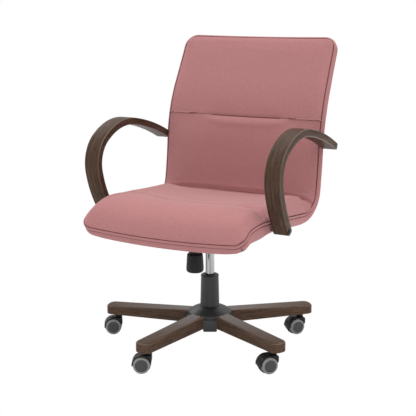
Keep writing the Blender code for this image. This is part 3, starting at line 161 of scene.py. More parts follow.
KNOB_Y = -0.0960
KNOB_FLUTES = 14
FLUTE_DEPTH = 0.0014


class ArcPath:
    """A path in the YZ plane made of tangent arcs, measured along its length."""

    def __init__(self, start, stretches):
        y, z, heading = start
        self.knots = []
        self.length = 0.0
        for stretch, turn in stretches:
            self.knots.append((self.length, y, z, heading, stretch, turn))
            y, z, heading = self.step(y, z, heading, stretch, turn, stretch)
            self.length += stretch

    @staticmethod
    def step(y, z, heading, stretch, turn, along):
        bend = radians(turn) * along / stretch
        start = radians(heading)
        chord = along
        if abs(bend) > 1e-9:
            chord = along * sin(bend / 2) / (bend / 2)
        along_y, along_z = cos(start + bend / 2), sin(start + bend / 2)
        return (y + chord * along_y, z + chord * along_z, heading + math.degrees(bend))

    def at(self, along):
        knot = self.knots[0]
        for candidate in self.knots:
            if along >= candidate[0]:
                knot = candidate
        start, y, z, heading, stretch, turn = knot
        return self.step(y, z, heading, stretch, turn, along - start)

    def offset(self, along, distance, lean_limit=180.0):
        y, z, heading = self.at(along)
        heading = min(heading, lean_limit)
        return (y - distance * sin(radians(heading)), z + distance * cos(radians(heading)))


PROFILE = ArcPath(PROFILE_START, STRETCHES)
TOP_S = PROFILE.length
ARM_PATH = ArcPath(ARM_START, [(size if turn == 0.0 else size * radians(-turn), turn)
                               for size, turn in ARM_STRETCHES])


def smooth_step(value):
    value = min(max(value, 0.0), 1.0)
    return value * value * (3.0 - 2.0 * value)


def bell(value, width):
    return math.exp(-(value / width) ** 2)


def fade(value):
    return 1.0 - smooth_step(value)


def evenly(low, high, spacing):
    """Places from low to high, about as far apart as spacing."""
    count = int((high - low) / spacing)
    return [low + (high - low) * index / count for index in range(count + 1)]


# Materials

class Nodes:
    """A node tree and short ways to add nodes to it."""

    def __init__(self, tree):
        self.tree = tree

    def feed(self, socket, value):
        """Link an input to an output, or set its value. A colour comes without its alpha."""
        if isinstance(value, bpy.types.NodeSocket):
            self.tree.links.new(value, socket)
        elif isinstance(value, tuple) and socket.type == "RGBA":
            socket.default_value = (*value, 1.0)
        else:
            socket.default_value = value

    def set(self, node, settings):
        for key, value in settings.items():
            self.feed(node.inputs[key], value)
        return node

    def add(self, kind, settings=None, **traits):
        node = self.tree.nodes.new("ShaderNode" + kind)
        for key, value in traits.items():
            setattr(node, key, value)
        return self.set(node, settings or {})

    def coordinates(self, source="Object", scale=(1.0, 1.0, 1.0)):
        if source == "Object":
            vector = self.add("TexCoord").outputs["Object"]
        else:
            vector = self.add("Attribute", attribute_name=source).outputs["Vector"]
        return self.add("Mapping", {"Vector": vector, "Scale": scale}).outputs["Vector"]

    def noise(self, vector, scale, detail=3.0, roughness=0.55):
        made = self.add("TexNoise", {"Vector": vector, "Scale": scale, "Detail": detail,
                                     "Roughness": roughness})
        return made.outputs["Fac"]

    def ramp(self, factor, stops):
        made = self.add("ValToRGB", {"Fac": factor})
        elements = made.color_ramp.elements
        while len(elements) < len(stops):
            elements.new(0.5)
        for element, (position, colour) in zip(elements, stops):
            element.position = position
            element.color = (*colour, 1.0)
        return made.outputs["Color"]

    def mix(self, factor, first, second, blend="MIX"):
        made = self.add("Mix", data_type="RGBA", blend_type=blend)
        for index, value in ((0, factor), (6, first), (7, second)):
            self.feed(made.inputs[index], value)
        return made.outputs[2]

    def spread(self, factor, low, high, start=0.0, end=1.0):
        """Stretch what lies between start and end to low and high."""
        settings = {"Value": factor, "From Min": start, "From Max": end, "To Min": low, "To Max": high}
        return self.add("MapRange", settings).outputs["Result"]

    def bump(self, height, strength, distance, under=None):
        settings = {"Height": height, "Strength": strength, "Distance": distance}
        if under is not None:
            settings["Normal"] = under
        return self.add("Bump", settings).outputs["Normal"]

    def camera_sees(self, white, plain, output):
        """The camera sees the white shader, and all other rays meet the plain one."""
        chosen = self.add("MixShader", {"Fac": self.add("LightPath").outputs["Is Camera Ray"]})
        self.feed(chosen.inputs[1], plain)
        self.feed(chosen.inputs[2], white)
        self.feed(output, chosen.outputs["Shader"])


class Look(Nodes):
    """A Principled material."""

    def __init__(self, name, **settings):
        self.material = bpy.data.materials.new(name)
        self.material.use_nodes = True
        super().__init__(self.material.node_tree)
        self.shader = self.set(self.tree.nodes["Principled BSDF"], settings)


def fabric_look(name, light, dark):
    """A felted wool-like cloth: fine nap, soft mottling and a pale sheen at grazing angles."""
    look = Look(name, Roughness=0.95)
    point = look.coordinates()
    mottle = look.noise(point, 430.0, 3.0, 0.65)
    patch = look.noise(point, 90.0, 2.0, 0.5)
    broad = look.noise(point, 7.0, 2.0)
    fibre = look.noise(point, 1150.0, 2.0, 0.7)
    base = look.mix(look.spread(mottle, 0.0, 1.0, 0.30, 0.70), dark, light)
    base = look.mix(look.spread(patch, 0.05, 0.30), base, dark)
    base = look.mix(look.spread(broad, 0.0, 0.25), base, dark)
    threads = look.ramp(fibre, ((0.35, (0.0, 0.0, 0.0)), (0.65, (1.0, 1.0, 1.0))))
    base = look.mix(0.16, base, threads, "SOFT_LIGHT")
    nap = look.bump(fibre, 0.40, 0.0006)
    nap = look.bump(mottle, 0.28, 0.0007, nap)
    look.set(look.shader, {"Base Color": base, "Normal": nap, "Sheen Weight": 0.32, "Sheen Roughness": 0.35,
                           "Sheen Tint": (1.0, 0.82, 0.81)})
    return look.material


def wood_look(name, source, scale, lightness=1.0):
    """Stained wood: long streaks, fine pores and a satin lacquer. Scale is low along the grain."""
    look = Look(name)
    along = look.coordinates(source, scale)
    streak = look.noise(along, 1.0, 5.0, 0.62)
    pores = look.noise(along, 4.2, 2.0, 0.7)
    broad = look.noise(look.coordinates(source, (9.0, 9.0, 9.0)), 1.0, 2.0)
    tones = ((0.32, (0.044, 0.026, 0.017)), (0.52, (0.082, 0.050, 0.034)), (0.72, (0.118, 0.074, 0.050)))
    stain = look.ramp(streak, [(share, tuple(value * lightness for value in tone)) for share, tone in tones])
    ground = tuple(value * lightness for value in (0.062, 0.030, 0.018))
    stain = look.mix(look.spread(broad, 0.0, 0.30), stain, ground)
    flecks = look.ramp(pores, ((0.36, (0.30, 0.28, 0.27)), (0.48, (1.0, 1.0, 1.0))))
    stain = look.mix(0.60, stain, flecks, "MULTIPLY")
    edge_highlight = look.add("Attribute", attribute_name="edge_highlight_mask").outputs["Fac"]
    # Painted highlight: a lighter brown mixed onto the rounded edges that the mask marks, where the coat is
    # glossier too.
    stain = look.mix(look.spread(edge_highlight, 0.0, 0.3), stain, (0.260, 0.175, 0.125))
    grain = look.bump(pores, 0.14, 0.0004)
    look.set(look.shader, {"Base Color": stain, "Roughness": look.spread(streak, 0.34, 0.50), "Normal": grain,
                           "Specular IOR Level": 0.07, "Coat Weight": look.spread(edge_highlight, 0.02, 0.8),
                           "Coat Roughness": 0.12})
    return look.material


def moulded_look(name, colour, roughness, grain=0.06, scale=1500.0, wear_and_highlight=0.25, gloss=0.5):
    """Moulded plastic or rubber with a fine spark-eroded grain and paler convex edges, partly wear and partly a
    painted edge highlight.
    """
    look = Look(name)
    point = look.coordinates()
    texture = look.noise(point, scale, 2.0, 0.6)
    broad = look.noise(point, 28.0, 2.0)
    deep = tuple(value * 0.86 for value in colour)
    pale = tuple(value * 1.9 + 0.02 for value in colour)
    base = look.mix(look.spread(broad, 0.1, 0.9), colour, deep)
    # Paler convex edges: partly wear, partly a painted highlight.
    rim = look.add("NewGeometry").outputs["Pointiness"]
    base = look.mix(look.spread(rim, 0.0, wear_and_highlight, 0.51, 0.58), base, pale)
    sheen = look.spread(broad, roughness - 0.05, roughness + 0.07)
    look.set(look.shader, {"Base Color": base, "Roughness": sheen,
                           "Normal": look.bump(texture, grain, 0.0002), "Specular IOR Level": gloss})
    return look.material


def metal_look(name, colour, roughness, scale, contrast=0.14):
    """Bare metal with drawing lines; contrast is how much darker the lines are, and with a high contrast they
    are painted reflection bands.
    """
    look = Look(name, Metallic=1.0)
    lines = look.noise(look.coordinates("Object", scale), 1.0, 2.0)
    low, high = (tuple(value * share for value in colour) for share in (1.0 - contrast, 1.0 + contrast))
    base = look.ramp(lines, ((0.38, low), (0.62, high)))
    sheen = look.spread(lines, roughness * 0.7, roughness * 1.4)
    look.set(look.shader, {"Base Color": base, "Roughness": sheen, "Normal": look.bump(lines, 0.04, 0.0002)})
    return look.material


ROSE = fabric_look("rose_felt", (0.535, 0.242, 0.238), (0.375, 0.152, 0.150))
# Dark thread colour for the seam and fold tubes, darker than the cloth so that it also paints the shade in the
# seam grooves and folds.
THREAD_AND_SHADE = moulded_look("dark_thread_and_shade", (0.125, 0.042, 0.041), 0.9, 0.3, 900.0, 0.0, 0.05)
LINING = moulded_look("black_lining", (0.020, 0.020, 0.021), 0.9, 0.5, 700.0, 0.0)
ARM_WOOD = wood_look("arm_wood", "grain", (300.0, 11.0, 70.0), 1.08)
LEG_WOOD = wood_look("leg_wood", "grain", (11.0, 230.0, 230.0), 1.32)
PLY = wood_look("ply_edge", "Object", (12.0, 12.0, 900.0))
PLASTIC = moulded_look("black_plastic", (0.013, 0.013, 0.013), 0.40, 0.03, 1500.0, 0.30, 0.25)
COVER_PLASTIC = moulded_look("cover_plastic", (0.030, 0.031, 0.031), 0.40, 0.10, 1100.0)
DISK = moulded_look("disk_plastic", (0.056, 0.056, 0.056), 0.60, 0.02)
TREAD = moulded_look("grey_tread", (0.255, 0.250, 0.245), 0.75, 0.04, 900.0)
# Chrome's strong lengthwise streaks are painted reflection bands.
CHROME = metal_look("polished_chrome", (0.31, 0.31, 0.312), 0.16, (170.0, 170.0, 1.5), 0.62)
STEEL = metal_look("zinc_steel", (0.50, 0.50, 0.49), 0.36, (300.0, 300.0, 300.0))
PAINTED = moulded_look("painted_steel", (0.022, 0.022, 0.023), 0.38, 0.06, 1300.0)


# Making pieces

def linked(name, data):
    made = bpy.data.objects.new(name, data)
    bpy.context.scene.collection.objects.link(made)
    return made


def piece(name, mesh, look, body, nodes, smooth):
    """A finished piece: linked, coloured, riding on its body and standing for its nodes."""
    made = linked(name, mesh)
    mesh.materials.clear()
    mesh.materials.append(look)
    mesh.shade_smooth()
    if smooth < 180.0:
        mesh.set_sharp_from_angle(angle=radians(smooth))
    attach(made, body)
    if nodes:
        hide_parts(*nodes)
    return made


def mesh_from(bm, name):
    bmesh.ops.recalc_face_normals(bm, faces=bm.faces)
    made = bpy.data.meshes.new(name)
    bm.to_mesh(made)
    bm.free()
    return made


def baked(holder):
    """The mesh that a holder's curve or modifiers give. The holder goes."""
    bpy.context.view_layer.update()
    graph = bpy.context.evaluated_depsgraph_get()
    made = bpy.data.meshes.new_from_object(holder.evaluated_get(graph))
    bpy.data.objects.remove(holder, do_unlink=True)
    return made


def modified(mesh, *steps):
    """A mesh after modifiers given as (kind, settings)."""
    holder = linked("holder", mesh)
    for kind, settings in steps:
        step = holder.modifiers.new(kind.title(), kind)
        for key, value in settings.items():
            setattr(step, key, value)
    return baked(holder)


SUBDIVIDE = ("SUBSURF", {"levels": 1, "render_levels": 1})


def eased(mesh, width, segments, angle):
    return modified(mesh, ("BEVEL", {"width": width, "segments": segments, "limit_method": "ANGLE",
                                     "angle_limit": radians(angle), "harden_normals": False}))


def skin(bm, lines, around=False):
    """Faces between each line of points and the next. Around joins the end of a line to its start."""
    for line, after in zip(lines, lines[1:]):
        for index in range(len(line) if around else len(line) - 1):
            other = (index + 1) % len(line)
            bm.faces.new((line[index], line[other], after[other], after[index]))


def filleted(profile, radius, segments):
    """Round the inner corners of a polyline."""
    points = [Vector(profile[0])]
    for before, corner, after in zip(profile, profile[1:], profile[2:]):
        before, corner, after = Vector(before), Vector(corner), Vector(after)
        reach = min(radius, (before - corner).length * 0.45, (after - corner).length * 0.45)
        start = corner + (before - corner).normalized() * reach
        end = corner + (after - corner).normalized() * reach
        for index in range(segments + 1):
            share = index / segments
            points.append(start.lerp(corner, share).lerp(corner.lerp(end, share), share))
    points.append(Vector(profile[-1]))
    return points


def lathe(profile, steps, shape=None):
    """Turn a profile of (radius, height) points about Z; shape(angle, radius, height) may alter the radius."""
    bm = bmesh.new()
    rings = []
    for radius, height in profile:
        ring = []
        for step in range(steps if radius > 0.0 else 1):
            turn = 2 * math.pi * step / steps
            reach = shape(turn, radius, height) if shape else radius
            ring.append(bm.verts.new((reach * cos(turn), reach * sin(turn), height)))
        rings.append(ring)
    for upper, lower in zip(rings, rings[1:]):
        for step in range(steps):
            after = (step + 1) % steps
            corners = [upper[step % len(upper)], upper[after % len(upper)], lower[after % len(lower)],
                       lower[step % len(lower)]]
            unique = list(dict.fromkeys(corners))
            if len(unique) > 2:
                bm.faces.new(unique)
    return mesh_from(bm, "turned")


def swept(points, radius, closed=False):
    """A tube through points."""
    path = bpy.data.curves.new("tube", "CURVE")
    path.dimensions = "3D"
    path.bevel_depth = radius
    path.bevel_resolution = 1
    path.use_fill_caps = not closed
    spline = path.splines.new("POLY")
    spline.points.add(len(points) - 1)
    for spot, point in zip(spline.points, points):
        spot.co = (*point, 1.0)
    spline.use_cyclic_u = closed
    return baked(linked("tube", path))


def extruded(bm, outline):
    """Raise a face from the outline and give back the vertices of its far side."""
    raised = bmesh.ops.extrude_face_region(bm, geom=[bm.faces.new([bm.verts.new(point) for point in outline])])
    return [item for item in raised["geom"] if isinstance(item, bmesh.types.BMVert)]


def profile_plate(outline, half_thickness, rounding, segments):
    """A closed YZ outline made into a plate along X with rounded rims."""
    bm = bmesh.new()
    lifted = extruded(bm, [(-half_thickness, y, z) for y, z in outline])
    bmesh.ops.translate(bm, verts=lifted, vec=(2 * half_thickness, 0.0, 0.0))
    return eased(mesh_from(bm, "plate"), rounding, segments, 50.0)


def merged(*meshes):
    bm = bmesh.new()
    for mesh in meshes:
        bm.from_mesh(mesh)
    made = bpy.data.meshes.new("merged")
    bm.to_mesh(made)
    bm.free()
    return made


def place(mesh, matrix):
    mesh.transform(matrix)
    return mesh


LIE_ALONG_X = Matrix.Rotation(radians(90.0), 4, "Y")


def dressed_copy(node, look, body, bevel, shape=None):
    """The CAD node's own shape with eased edges, under a better material."""
    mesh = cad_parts[node].data.copy()
    bm = bmesh.new()
    bm.from_mesh(mesh)
    for vert in bm.verts if shape else ():
        vert.co = shape(vert.co)
    bmesh.ops.remove_doubles(bm, verts=bm.verts, dist=0.000005)
    bmesh.ops.dissolve_limit(bm, angle_limit=radians(1.0), verts=bm.verts, edges=bm.edges)
    bm.to_mesh(mesh)
    bm.free()
    mesh = eased(mesh, bevel, 2, 30.0)
    piece(f"{node}_dressed", mesh, look, body, (node,), 30.0)


def repaint(**looks):
    """A procedural material for each CAD piece that stays as it is."""
    for node, look in looks.items():
        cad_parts[node].data.materials[0] = look


# Upholstery

def shell_half_width(s):
    rise = smooth_step((s - BEND_START_S) / (BEND_LENGTH * 0.9))
    fall = smooth_step((s - BEND_END_S - LOWER_BACK_LENGTH - LUMBAR_LENGTH / 2) / 0.24)
    return HALF_WIDTH + BACK_FLARE * rise * (1.0 - TOP_DRAW_IN * fall)


def back_share(s):
    return smooth_step((s - BEND_START_S) / BEND_LENGTH)


def edge_depth(s):
    """Depth of the upholstery under its seam, fuller round the front."""
    front = 0.0032 * fade((s - 0.14) / 0.10) + 0.0070 * bell(s - 0.128, 0.056)
    bend = 0.0026 * bell(s - BEND_START_S - 0.010, 0.024)
    return SEAT_DEPTH + front - bend + (BACK_DEPTH - SEAT_DEPTH) * back_share(s)


def welt_width(s):
    return WELT_SIDE + (WELT_FRONT - WELT_SIDE) * fade((s - FRONT_RADIUS / 2) / FRONT_RADIUS)


def bowed(x, s):
    """The outline's front edge swings forwards in its middle, and its top corners stand a little higher."""
    front = fade(s / WATERFALL_LENGTH)
    top = smooth_step(1.0 - (TOP_S - s) / UPPER_BACK_LENGTH)
    return s + (FRONT_BOW * front + TOP_BOW * top) * (x / HALF_WIDTH) ** 2


def bent(x, s, height):
    x -= CORNER_PULL * bell(x + HALF_WIDTH, 0.060) * bell(s, 0.060)
    y, z = PROFILE.offset(s, height, FRONT_LEAN if s < WATERFALL_LENGTH else 180.0)
    return Vector((x, y, z))


def outline_width(s, inset):
    """Half width of the outline, rounded at the front and top corners."""
    full = shell_half_width(s) - inset
    width = full
    for radius, distance in ((FRONT_RADIUS - inset, s - inset), (TOP_RADIUS - inset, TOP_S - inset - s)):
        if distance < radius:
            reach = math.sqrt(max(radius ** 2 - (radius - distance) ** 2, 0.0))
            width = min(width, full - radius + reach)
    return width


def seam_inset(s):
    """How far the pad's seam lies inside the outline, more where the boxing turns over the back's edge."""
    return PAD_INSET + (BACK_PAD_INSET - PAD_INSET) * back_share(s)


def rim_distance(x, s, start, end):
    """How far a place on the blank is from the rim of the part between start and end."""
    full = shell_half_width(s)
    side = full - abs(x)
    distance = min(side, s - start, end - s)
    for radius, along in ((FRONT_RADIUS, s), (TOP_RADIUS, TOP_S - s)):
        if along < radius and side < radius:
            distance = min(distance, radius - math.hypot(radius - along, radius - side))
    return max(distance, 0.0)


def rim_walk(spacing=0.006):
    """Points round the whole outline as (x, s, outward x, outward s)."""
    def row(half, s, way):
        return [(way * x, s, 0.0, -way) for x in evenly(-half, half, spacing)[1:-1]]

    def corner(centre_s, radius, start, full):
        turns = [radians(start + 10.0 * index) for index in range(10)]
        return [(full - radius + radius * sin(turn), centre_s - radius * cos(turn), sin(turn), -cos(turn))
                for turn in turns]

    front_full = shell_half_width(FRONT_RADIUS)
    top_full = shell_half_width(TOP_S - TOP_RADIUS)
    places = evenly(FRONT_RADIUS, TOP_S - TOP_RADIUS, spacing)[1:-1]
    right = corner(FRONT_RADIUS, FRONT_RADIUS, 0.0, front_full)
    right += [(shell_half_width(s), s, 1.0, 0.0) for s in places]
    right += corner(TOP_S - TOP_RADIUS, TOP_RADIUS, 90.0, top_full)
    left = [(-x, s, -out, along) for x, s, out, along in reversed(right)]
    return row(front_full - FRONT_RADIUS, 0.0, 1.0) + right + row(top_full - TOP_RADIUS, TOP_S, -1.0) + left


def rim_point(spot, out, height):
    x, s, out_x, out_s = spot
    x += out_x * out
    s += out_s * out
    return bent(x, bowed(x, s), height)


def edge_band():
    """The boxing and welt that run round the whole shell as one strip."""
    bm = bmesh.new()
    loops = []
    for spot in rim_walk():
        x, s = spot[:2]
        from_corner = math.hypot(HALF_WIDTH - abs(x), s)
        depth = edge_depth(s) - CORNER_LIFT * bell(from_corner - 0.2 * FRONT_RADIUS, 0.040)
        welt, inset, rise = welt_width(s), seam_inset(s), shoulder(s)
        pucker = 0.0004 * noise.noise(Vector((x * 55.0, s * 55.0, 3.0)))
        section = ((-0.0150, -depth + 0.0015), (-0.0065, -depth - 0.0004), (-0.0015, -depth + 0.0012),
                   (0.0006, -depth + 0.0045), (0.0018 + pucker, -(depth * 0.65 + welt * 0.35)),
                   (BAND_PROUD + pucker, -(depth * 0.35 + welt * 0.65)), (BAND_PROUD - 0.0006, -welt - 0.0028),
                   (0.0, -welt - 0.0009), (0.0, -welt + 0.0006), (BAND_PROUD + 0.0002, -welt + 0.0026),
                   (BAND_PROUD + 0.0012, -welt * 0.5), (BAND_PROUD, -0.0020 + 0.5 * rise),
                   (0.0008 - inset, rise - 0.0004), (-inset, rise - 0.0024), (-0.0036 - inset, rise - 0.0050))
        loops.append([bm.verts.new(rim_point(spot, out, height)) for out, height in section])
    skin(bm, loops + loops[:1])
    return modified(mesh_from(bm, "edge_band"), SUBDIVIDE)


def roll_off(distance, width):
    """0 at a seam, rising to 1 where the padded face levels out."""
    return 1.0 - (1.0 - min(max(distance / width, 0.0), 1.0)) ** 2


def edge_roll(distance):
    """The panel's turned edge, a slight roll just inside its seam."""
    return (0.0012 * bell(distance - 0.0044, 0.0026) - 0.0004 * bell(distance - 0.0105, 0.0040)
            - 0.0014 * fade(distance / 0.0028))


def junction_s(x):
    """Where seat and back meet, which swings forwards towards the sides."""
    out = min(max((abs(x) - 0.130) / (HALF_WIDTH - 0.128), 0.0), 0.998)
    return JUNCTION_S - JUNCTION_FALL * (1.0 - math.sqrt(1.0 - out ** 2))


def tuck_s(x):
    """The back's cross fold, a little higher towards the sides."""
    return TOP_S - TUCK_FROM_TOP + TUCK_RISE * (x / HALF_WIDTH) ** 2


def followed(s, x):
    """Shift a row of the blank so that the rows run along the folds and the junction."""
    for fixed, wanted, low, high in ((CREASE_ROW_S, seat_crease_s(x), 0.060, 0.330),
                                     (JUNCTION_S, junction_s(x), 0.400, 0.600),
                                     (TOP_S - TUCK_FROM_TOP, tuck_s(x), 0.620, 0.760)):
        if low < s <= fixed:
            return low + (s - low) * (wanted - low) / (fixed - low)
        if fixed < s < high:
            return high - (high - s) * (high - wanted) / (high - fixed)
    return s


def seat_crease_s(x):
    """Where the front bolster drops to the dished rear of the seat."""
    for (low, first), (high, second) in zip(CREASE, CREASE[1:]):
        if x <= high:
            return first + (second - first) * smooth_step((x - low) / (high - low))
    return CREASE[-1][1]


def side_roll(s):
    """Width of the pad's rolled side, which is the same for seat and back where they meet."""
    return BACK_ROLL + (SIDE_ROLL - BACK_ROLL) * smooth_step((JUNCTION_S - s) / 0.12)


def seat_level(x, s):
    """Height over the seam at which the seat's face is level, but for a slight fall to the rear."""
    y, z, heading = PROFILE.at(max(s, FRONT_ROLL))
    lean = radians(heading)
    level = (LEVEL_Z + LEVEL_SLOPE * y - z) / (cos(lean) + LEVEL_SLOPE * sin(lean))
    settle = smooth_step((s - junction_s(x) + REAR_ROLL) / REAR_ROLL)
    return level + (REAR_HEIGHT - level) * settle


def seat_height(x, s):
    width = shell_half_width(s)
    corner = rim_distance(x, s, 0.0, 10.0)
    side = roll_off(width - abs(x), side_roll(s)) ** 0.85
    front = roll_off(s, FRONT_ROLL)
    behind = s - seat_crease_s(x)
    before_back = fade((s - junction_s(x) + REAR_ROLL) / REAR_ROLL)
    dish = DISH * max(1.0 - (x / width / 0.85) ** 2, 0.0) * smooth_step(behind / 0.12 + 0.25) * before_back
    at_shoulder = smooth_step((x - 0.150) / 0.060)
    spread = (0.014 if behind < 0.0 else 0.010) + 0.005 * at_shoulder
    fold = (SEAT_FOLD + SHOULDER_FOLD * at_shoulder) * math.exp(-abs(behind) / spread)
    fold += 0.0016 * smooth_step(behind / 0.010) * fade((behind - 0.04) / 0.09)
    sink = JUNCTION_SINK * fade((junction_s(x) - s) / 0.018)
    wander = 0.0009 * noise.noise(Vector((x * 9.0, s * 9.0, 1.7))) * smooth_step(corner / 0.05)
    height = seat_level(x, s) * side * front - dish - crease_strength(x) * fold * smooth_step(corner / 0.010)
    return height + edge_roll(corner - seam_inset(s)) - sink + wander


def crease_strength(x):
    """The fold is deep towards the sitter's left and dies out on the right."""
    return 0.22 + 0.78 * smooth_step((x + 0.17) / 0.30)


def back_height(x, s):
    distance = rim_distance(x, s, -10.0, TOP_S)
    width = shell_half_width(s)
    side = roll_off(width - abs(x), side_roll(s)) ** (0.85 + 0.15 * smooth_step((s - junction_s(x)) / 0.10))
    top = roll_off(TOP_S - s, BACK_ROLL)
    crown = (BACK_CROWN - BACK_SIDE_FALL * (x / width) ** 2) * side * top
    below = tuck_s(x) - s
    deep = fade((abs(x - 0.012) - 0.105) / 0.055)
    line = fade((abs(x) - 0.225) / 0.02)
    fold = math.exp(below / 0.0075) if below < 0.0 else math.exp(-below / 0.0060)
    tuck = (BACK_TUCK * deep + TUCK_LINE * line) * fold + 0.0016 * deep * bell(below + 0.006, 0.022)
    puff = BACK_PUFF * deep * bell(below - 0.016, 0.014)
    sink = JUNCTION_SINK * fade((s - junction_s(x)) / 0.012)
    wander = 0.0008 * noise.noise(Vector((x * 8.0, s * 8.0, 5.1))) * smooth_step(distance / 0.05)
    return crown - tuck + puff - sink + edge_roll(distance - seam_inset(s)) + wander


def shoulder(s):
    """Height of the seam over the shell's edge, where the boxing has turned over it."""
    return BACK_CROWN * roll_off(seam_inset(s), BACK_ROLL) * back_share(s)


def across_places():
    """Places over the width from -1 to 1, closer together where the sides roll over."""
    edge = [0.0, 0.0016, 0.0036, 0.0062, 0.0094, 0.0132, 0.0178, 0.0228]
    inner = HALF_WIDTH - 0.0280
    places = [step - HALF_WIDTH for step in edge] + evenly(-inner, inner, CLOTH_SPACING)
    places += [HALF_WIDTH - step for step in reversed(edge)]
    return [place / HALF_WIDTH for place in places]


def panel_rows(low, high, fold):
    """Even rows over the blank, closer together beside the fold."""
    rows = [row for row in evenly(low, high, CLOTH_SPACING) if abs(row - fold) > FOLD_STEPS[-1] + 0.0012]
    return sorted(rows + [fold] + [fold + sign * step for step in FOLD_STEPS for sign in (-1.0, 1.0)])


def corner_rows(radius):
    """How far from the rim the rows lie that follow a round corner."""
    return [radius * (1 - cos(radians(90.0 * step / CORNER_STEPS))) for step in range(CORNER_STEPS)]


def sheet(rows, shares, inset, place_of):
    """A grid over the blank, with places from -1 to 1 over the width of each row."""
    bm = bmesh.new()
    lines = []
    for s in rows:
        width = outline_width(s, inset(s))
        lines.append([bm.verts.new(place_of(share * width, s)) for share in shares])
    skin(bm, lines)
    return bm


def simulate(mesh, held, pressure, cap):
    """Blow the face up a little against its held rim, and keep each point near where it was."""
    start = [vert.co.copy() for vert in mesh.vertices]
    pad = linked("cloth_pad", mesh)
    group = pad.vertex_groups.new(name="held")
    for index, weight in held.items():
        group.add([index], weight, "REPLACE")
    cloth = pad.modifiers.new("Cloth", "CLOTH")
    settings = cloth.settings
    for key, value in CLOTH_SETTINGS.items():
        setattr(settings, key, value)
    settings.vertex_group_mass = "held"
    settings.uniform_pressure_force = pressure
    settings.effector_weights.gravity = 0.0
    cloth.collision_settings.use_collision = False
    cloth.collision_settings.use_self_collision = False
    cloth.point_cache.frame_start = 1
    cloth.point_cache.frame_end = CLOTH_FRAMES
    for number in range(1, CLOTH_FRAMES + 1):
        bpy.context.scene.frame_set(number)
    blown = baked(pad)
    bpy.context.scene.frame_set(1)
    for vert, origin in zip(blown.vertices, start):
        move = vert.co - origin
        if move.length > cap:
            vert.co = origin + move.normalized() * cap
    return blown


def padded_face(rows, height, pins, pressure, cap):
    """A panel, blown up by the cloth solver, then smoothed and thickened."""
    shares = across_places()

    def place_of(x, s):
        along = followed(s, x)
        return bent(x, bowed(x, along), height(x, along))

    bm = sheet(rows, shares, seam_inset, place_of)
    bm.normal_update()
    mesh = mesh_from(bm, "panel")
    held = {}
    for row, s in enumerate(rows):
        width = outline_width(s, seam_inset(s))
        for column, share in enumerate(shares):
            edge = row in (0, len(rows) - 1) or column in (0, len(shares) - 1)
            x = share * width
            weight = 1.0 if edge else pins(x, followed(s, x))
            if weight > LEAST_HOLD:
                held[row * len(shares) + column] = weight
    mesh = simulate(mesh, held, pressure, cap)
    return modified(mesh, SUBDIVIDE,
                    ("SOLIDIFY", {"thickness": PAD_THICKNESS, "offset": -1.0, "use_rim": True}))


def seat_pins(x, s):
    held = crease_strength(x) * bell(s - seat_crease_s(x), 0.009)
    return max(held, 0.9 * fade((junction_s(x) - s) / 0.02))


def back_pins(x, s):
    rim = min(shell_half_width(s) - abs(x), TOP_S - s)
    return max(min(1.6 * bell(tuck_s(x) - s, 0.009), 1.0), 0.8 * bell(rim, 0.020),
               0.9 * fade((s - junction_s(x)) / 0.018))


def thread(name, points, radius, closed=False):
    piece(name, swept(points, radius, closed), THREAD_AND_SHADE, "seat", (), 180.0)


def rim_seam(name, inset, height, radius):
    thread(name, [rim_point(spot, -inset(spot[1]), height(spot[1])) for spot in rim_walk(0.008)], radius, True)


def corner_seam():
    """The upright join in the boxing at the front corner."""
    spot = [spot for spot in rim_walk() if spot[1] < FRONT_RADIUS and 0.55 < spot[2] < 0.75][0]
    depth, welt = edge_depth(spot[1]) - CORNER_LIFT, welt_width(spot[1])
    section = ((0.0018, -welt - 0.0022), (BAND_PROUD + 0.0004, -(depth * 0.35 + welt * 0.65)),
               (0.0024, -(depth * 0.65 + welt * 0.35)), (0.0012, -depth + 0.0040))
    thread("seam_corner", [rim_point(spot, out, height) for out, height in section], 0.0009)


def dark_fold_line(name, start_x, end_x, place_of, height, radius, lift):
    """A thin tube in the dark thread colour along the bottom of a fold across the pad, painting the fold's line
    of shade.
    """
    count = 60
    points = []
    for index in range(count + 1):
        x = start_x + (end_x - start_x) * index / count
        s = place_of(x)
        points.append(bent(x, bowed(x, s), height(x, s) + lift))
    thread(name, points, radius)


def field_panel(name, start, end, height, look, nodes):
    """A thin panel over the outer side of the shell, at height(x, s) from the seam."""
    rows = evenly(start, end, PANEL_SPACING)
    shares = [2.0 * column / PANEL_COLUMNS - 1.0 for column in range(PANEL_COLUMNS + 1)]
    bm = sheet(rows, shares, lambda s: PANEL_INSET, lambda x, s: bent(x, bowed(x, s), height(x, s)))
    mesh = modified(mesh_from(bm, name), SUBDIVIDE,
                    ("SOLIDIFY", {"thickness": PANEL_THICKNESS, "offset": 0.0, "use_rim": True}))
    piece(name, mesh, look, "seat", nodes, 180.0)


def rear_height(x, s):
    width = outline_width(s, PANEL_RIM)
    distance = max(min(width - abs(x), s - BEND_START_S, TOP_S - PANEL_RIM - s), 0.0)
    return -edge_depth(s) - 0.0055 * roll_off(distance, 0.05) + 0.0006


def under_height(x, s):
    distance = max(min(outline_width(s, PANEL_RIM) - abs(x), s - PANEL_RIM), 0.0)
    sag = 0.0010 * noise.noise(Vector((x * 14.0, s * 14.0, 8.0)))
    return -edge_depth(s) + 0.0010 - sag * smooth_step(distance / 0.05)


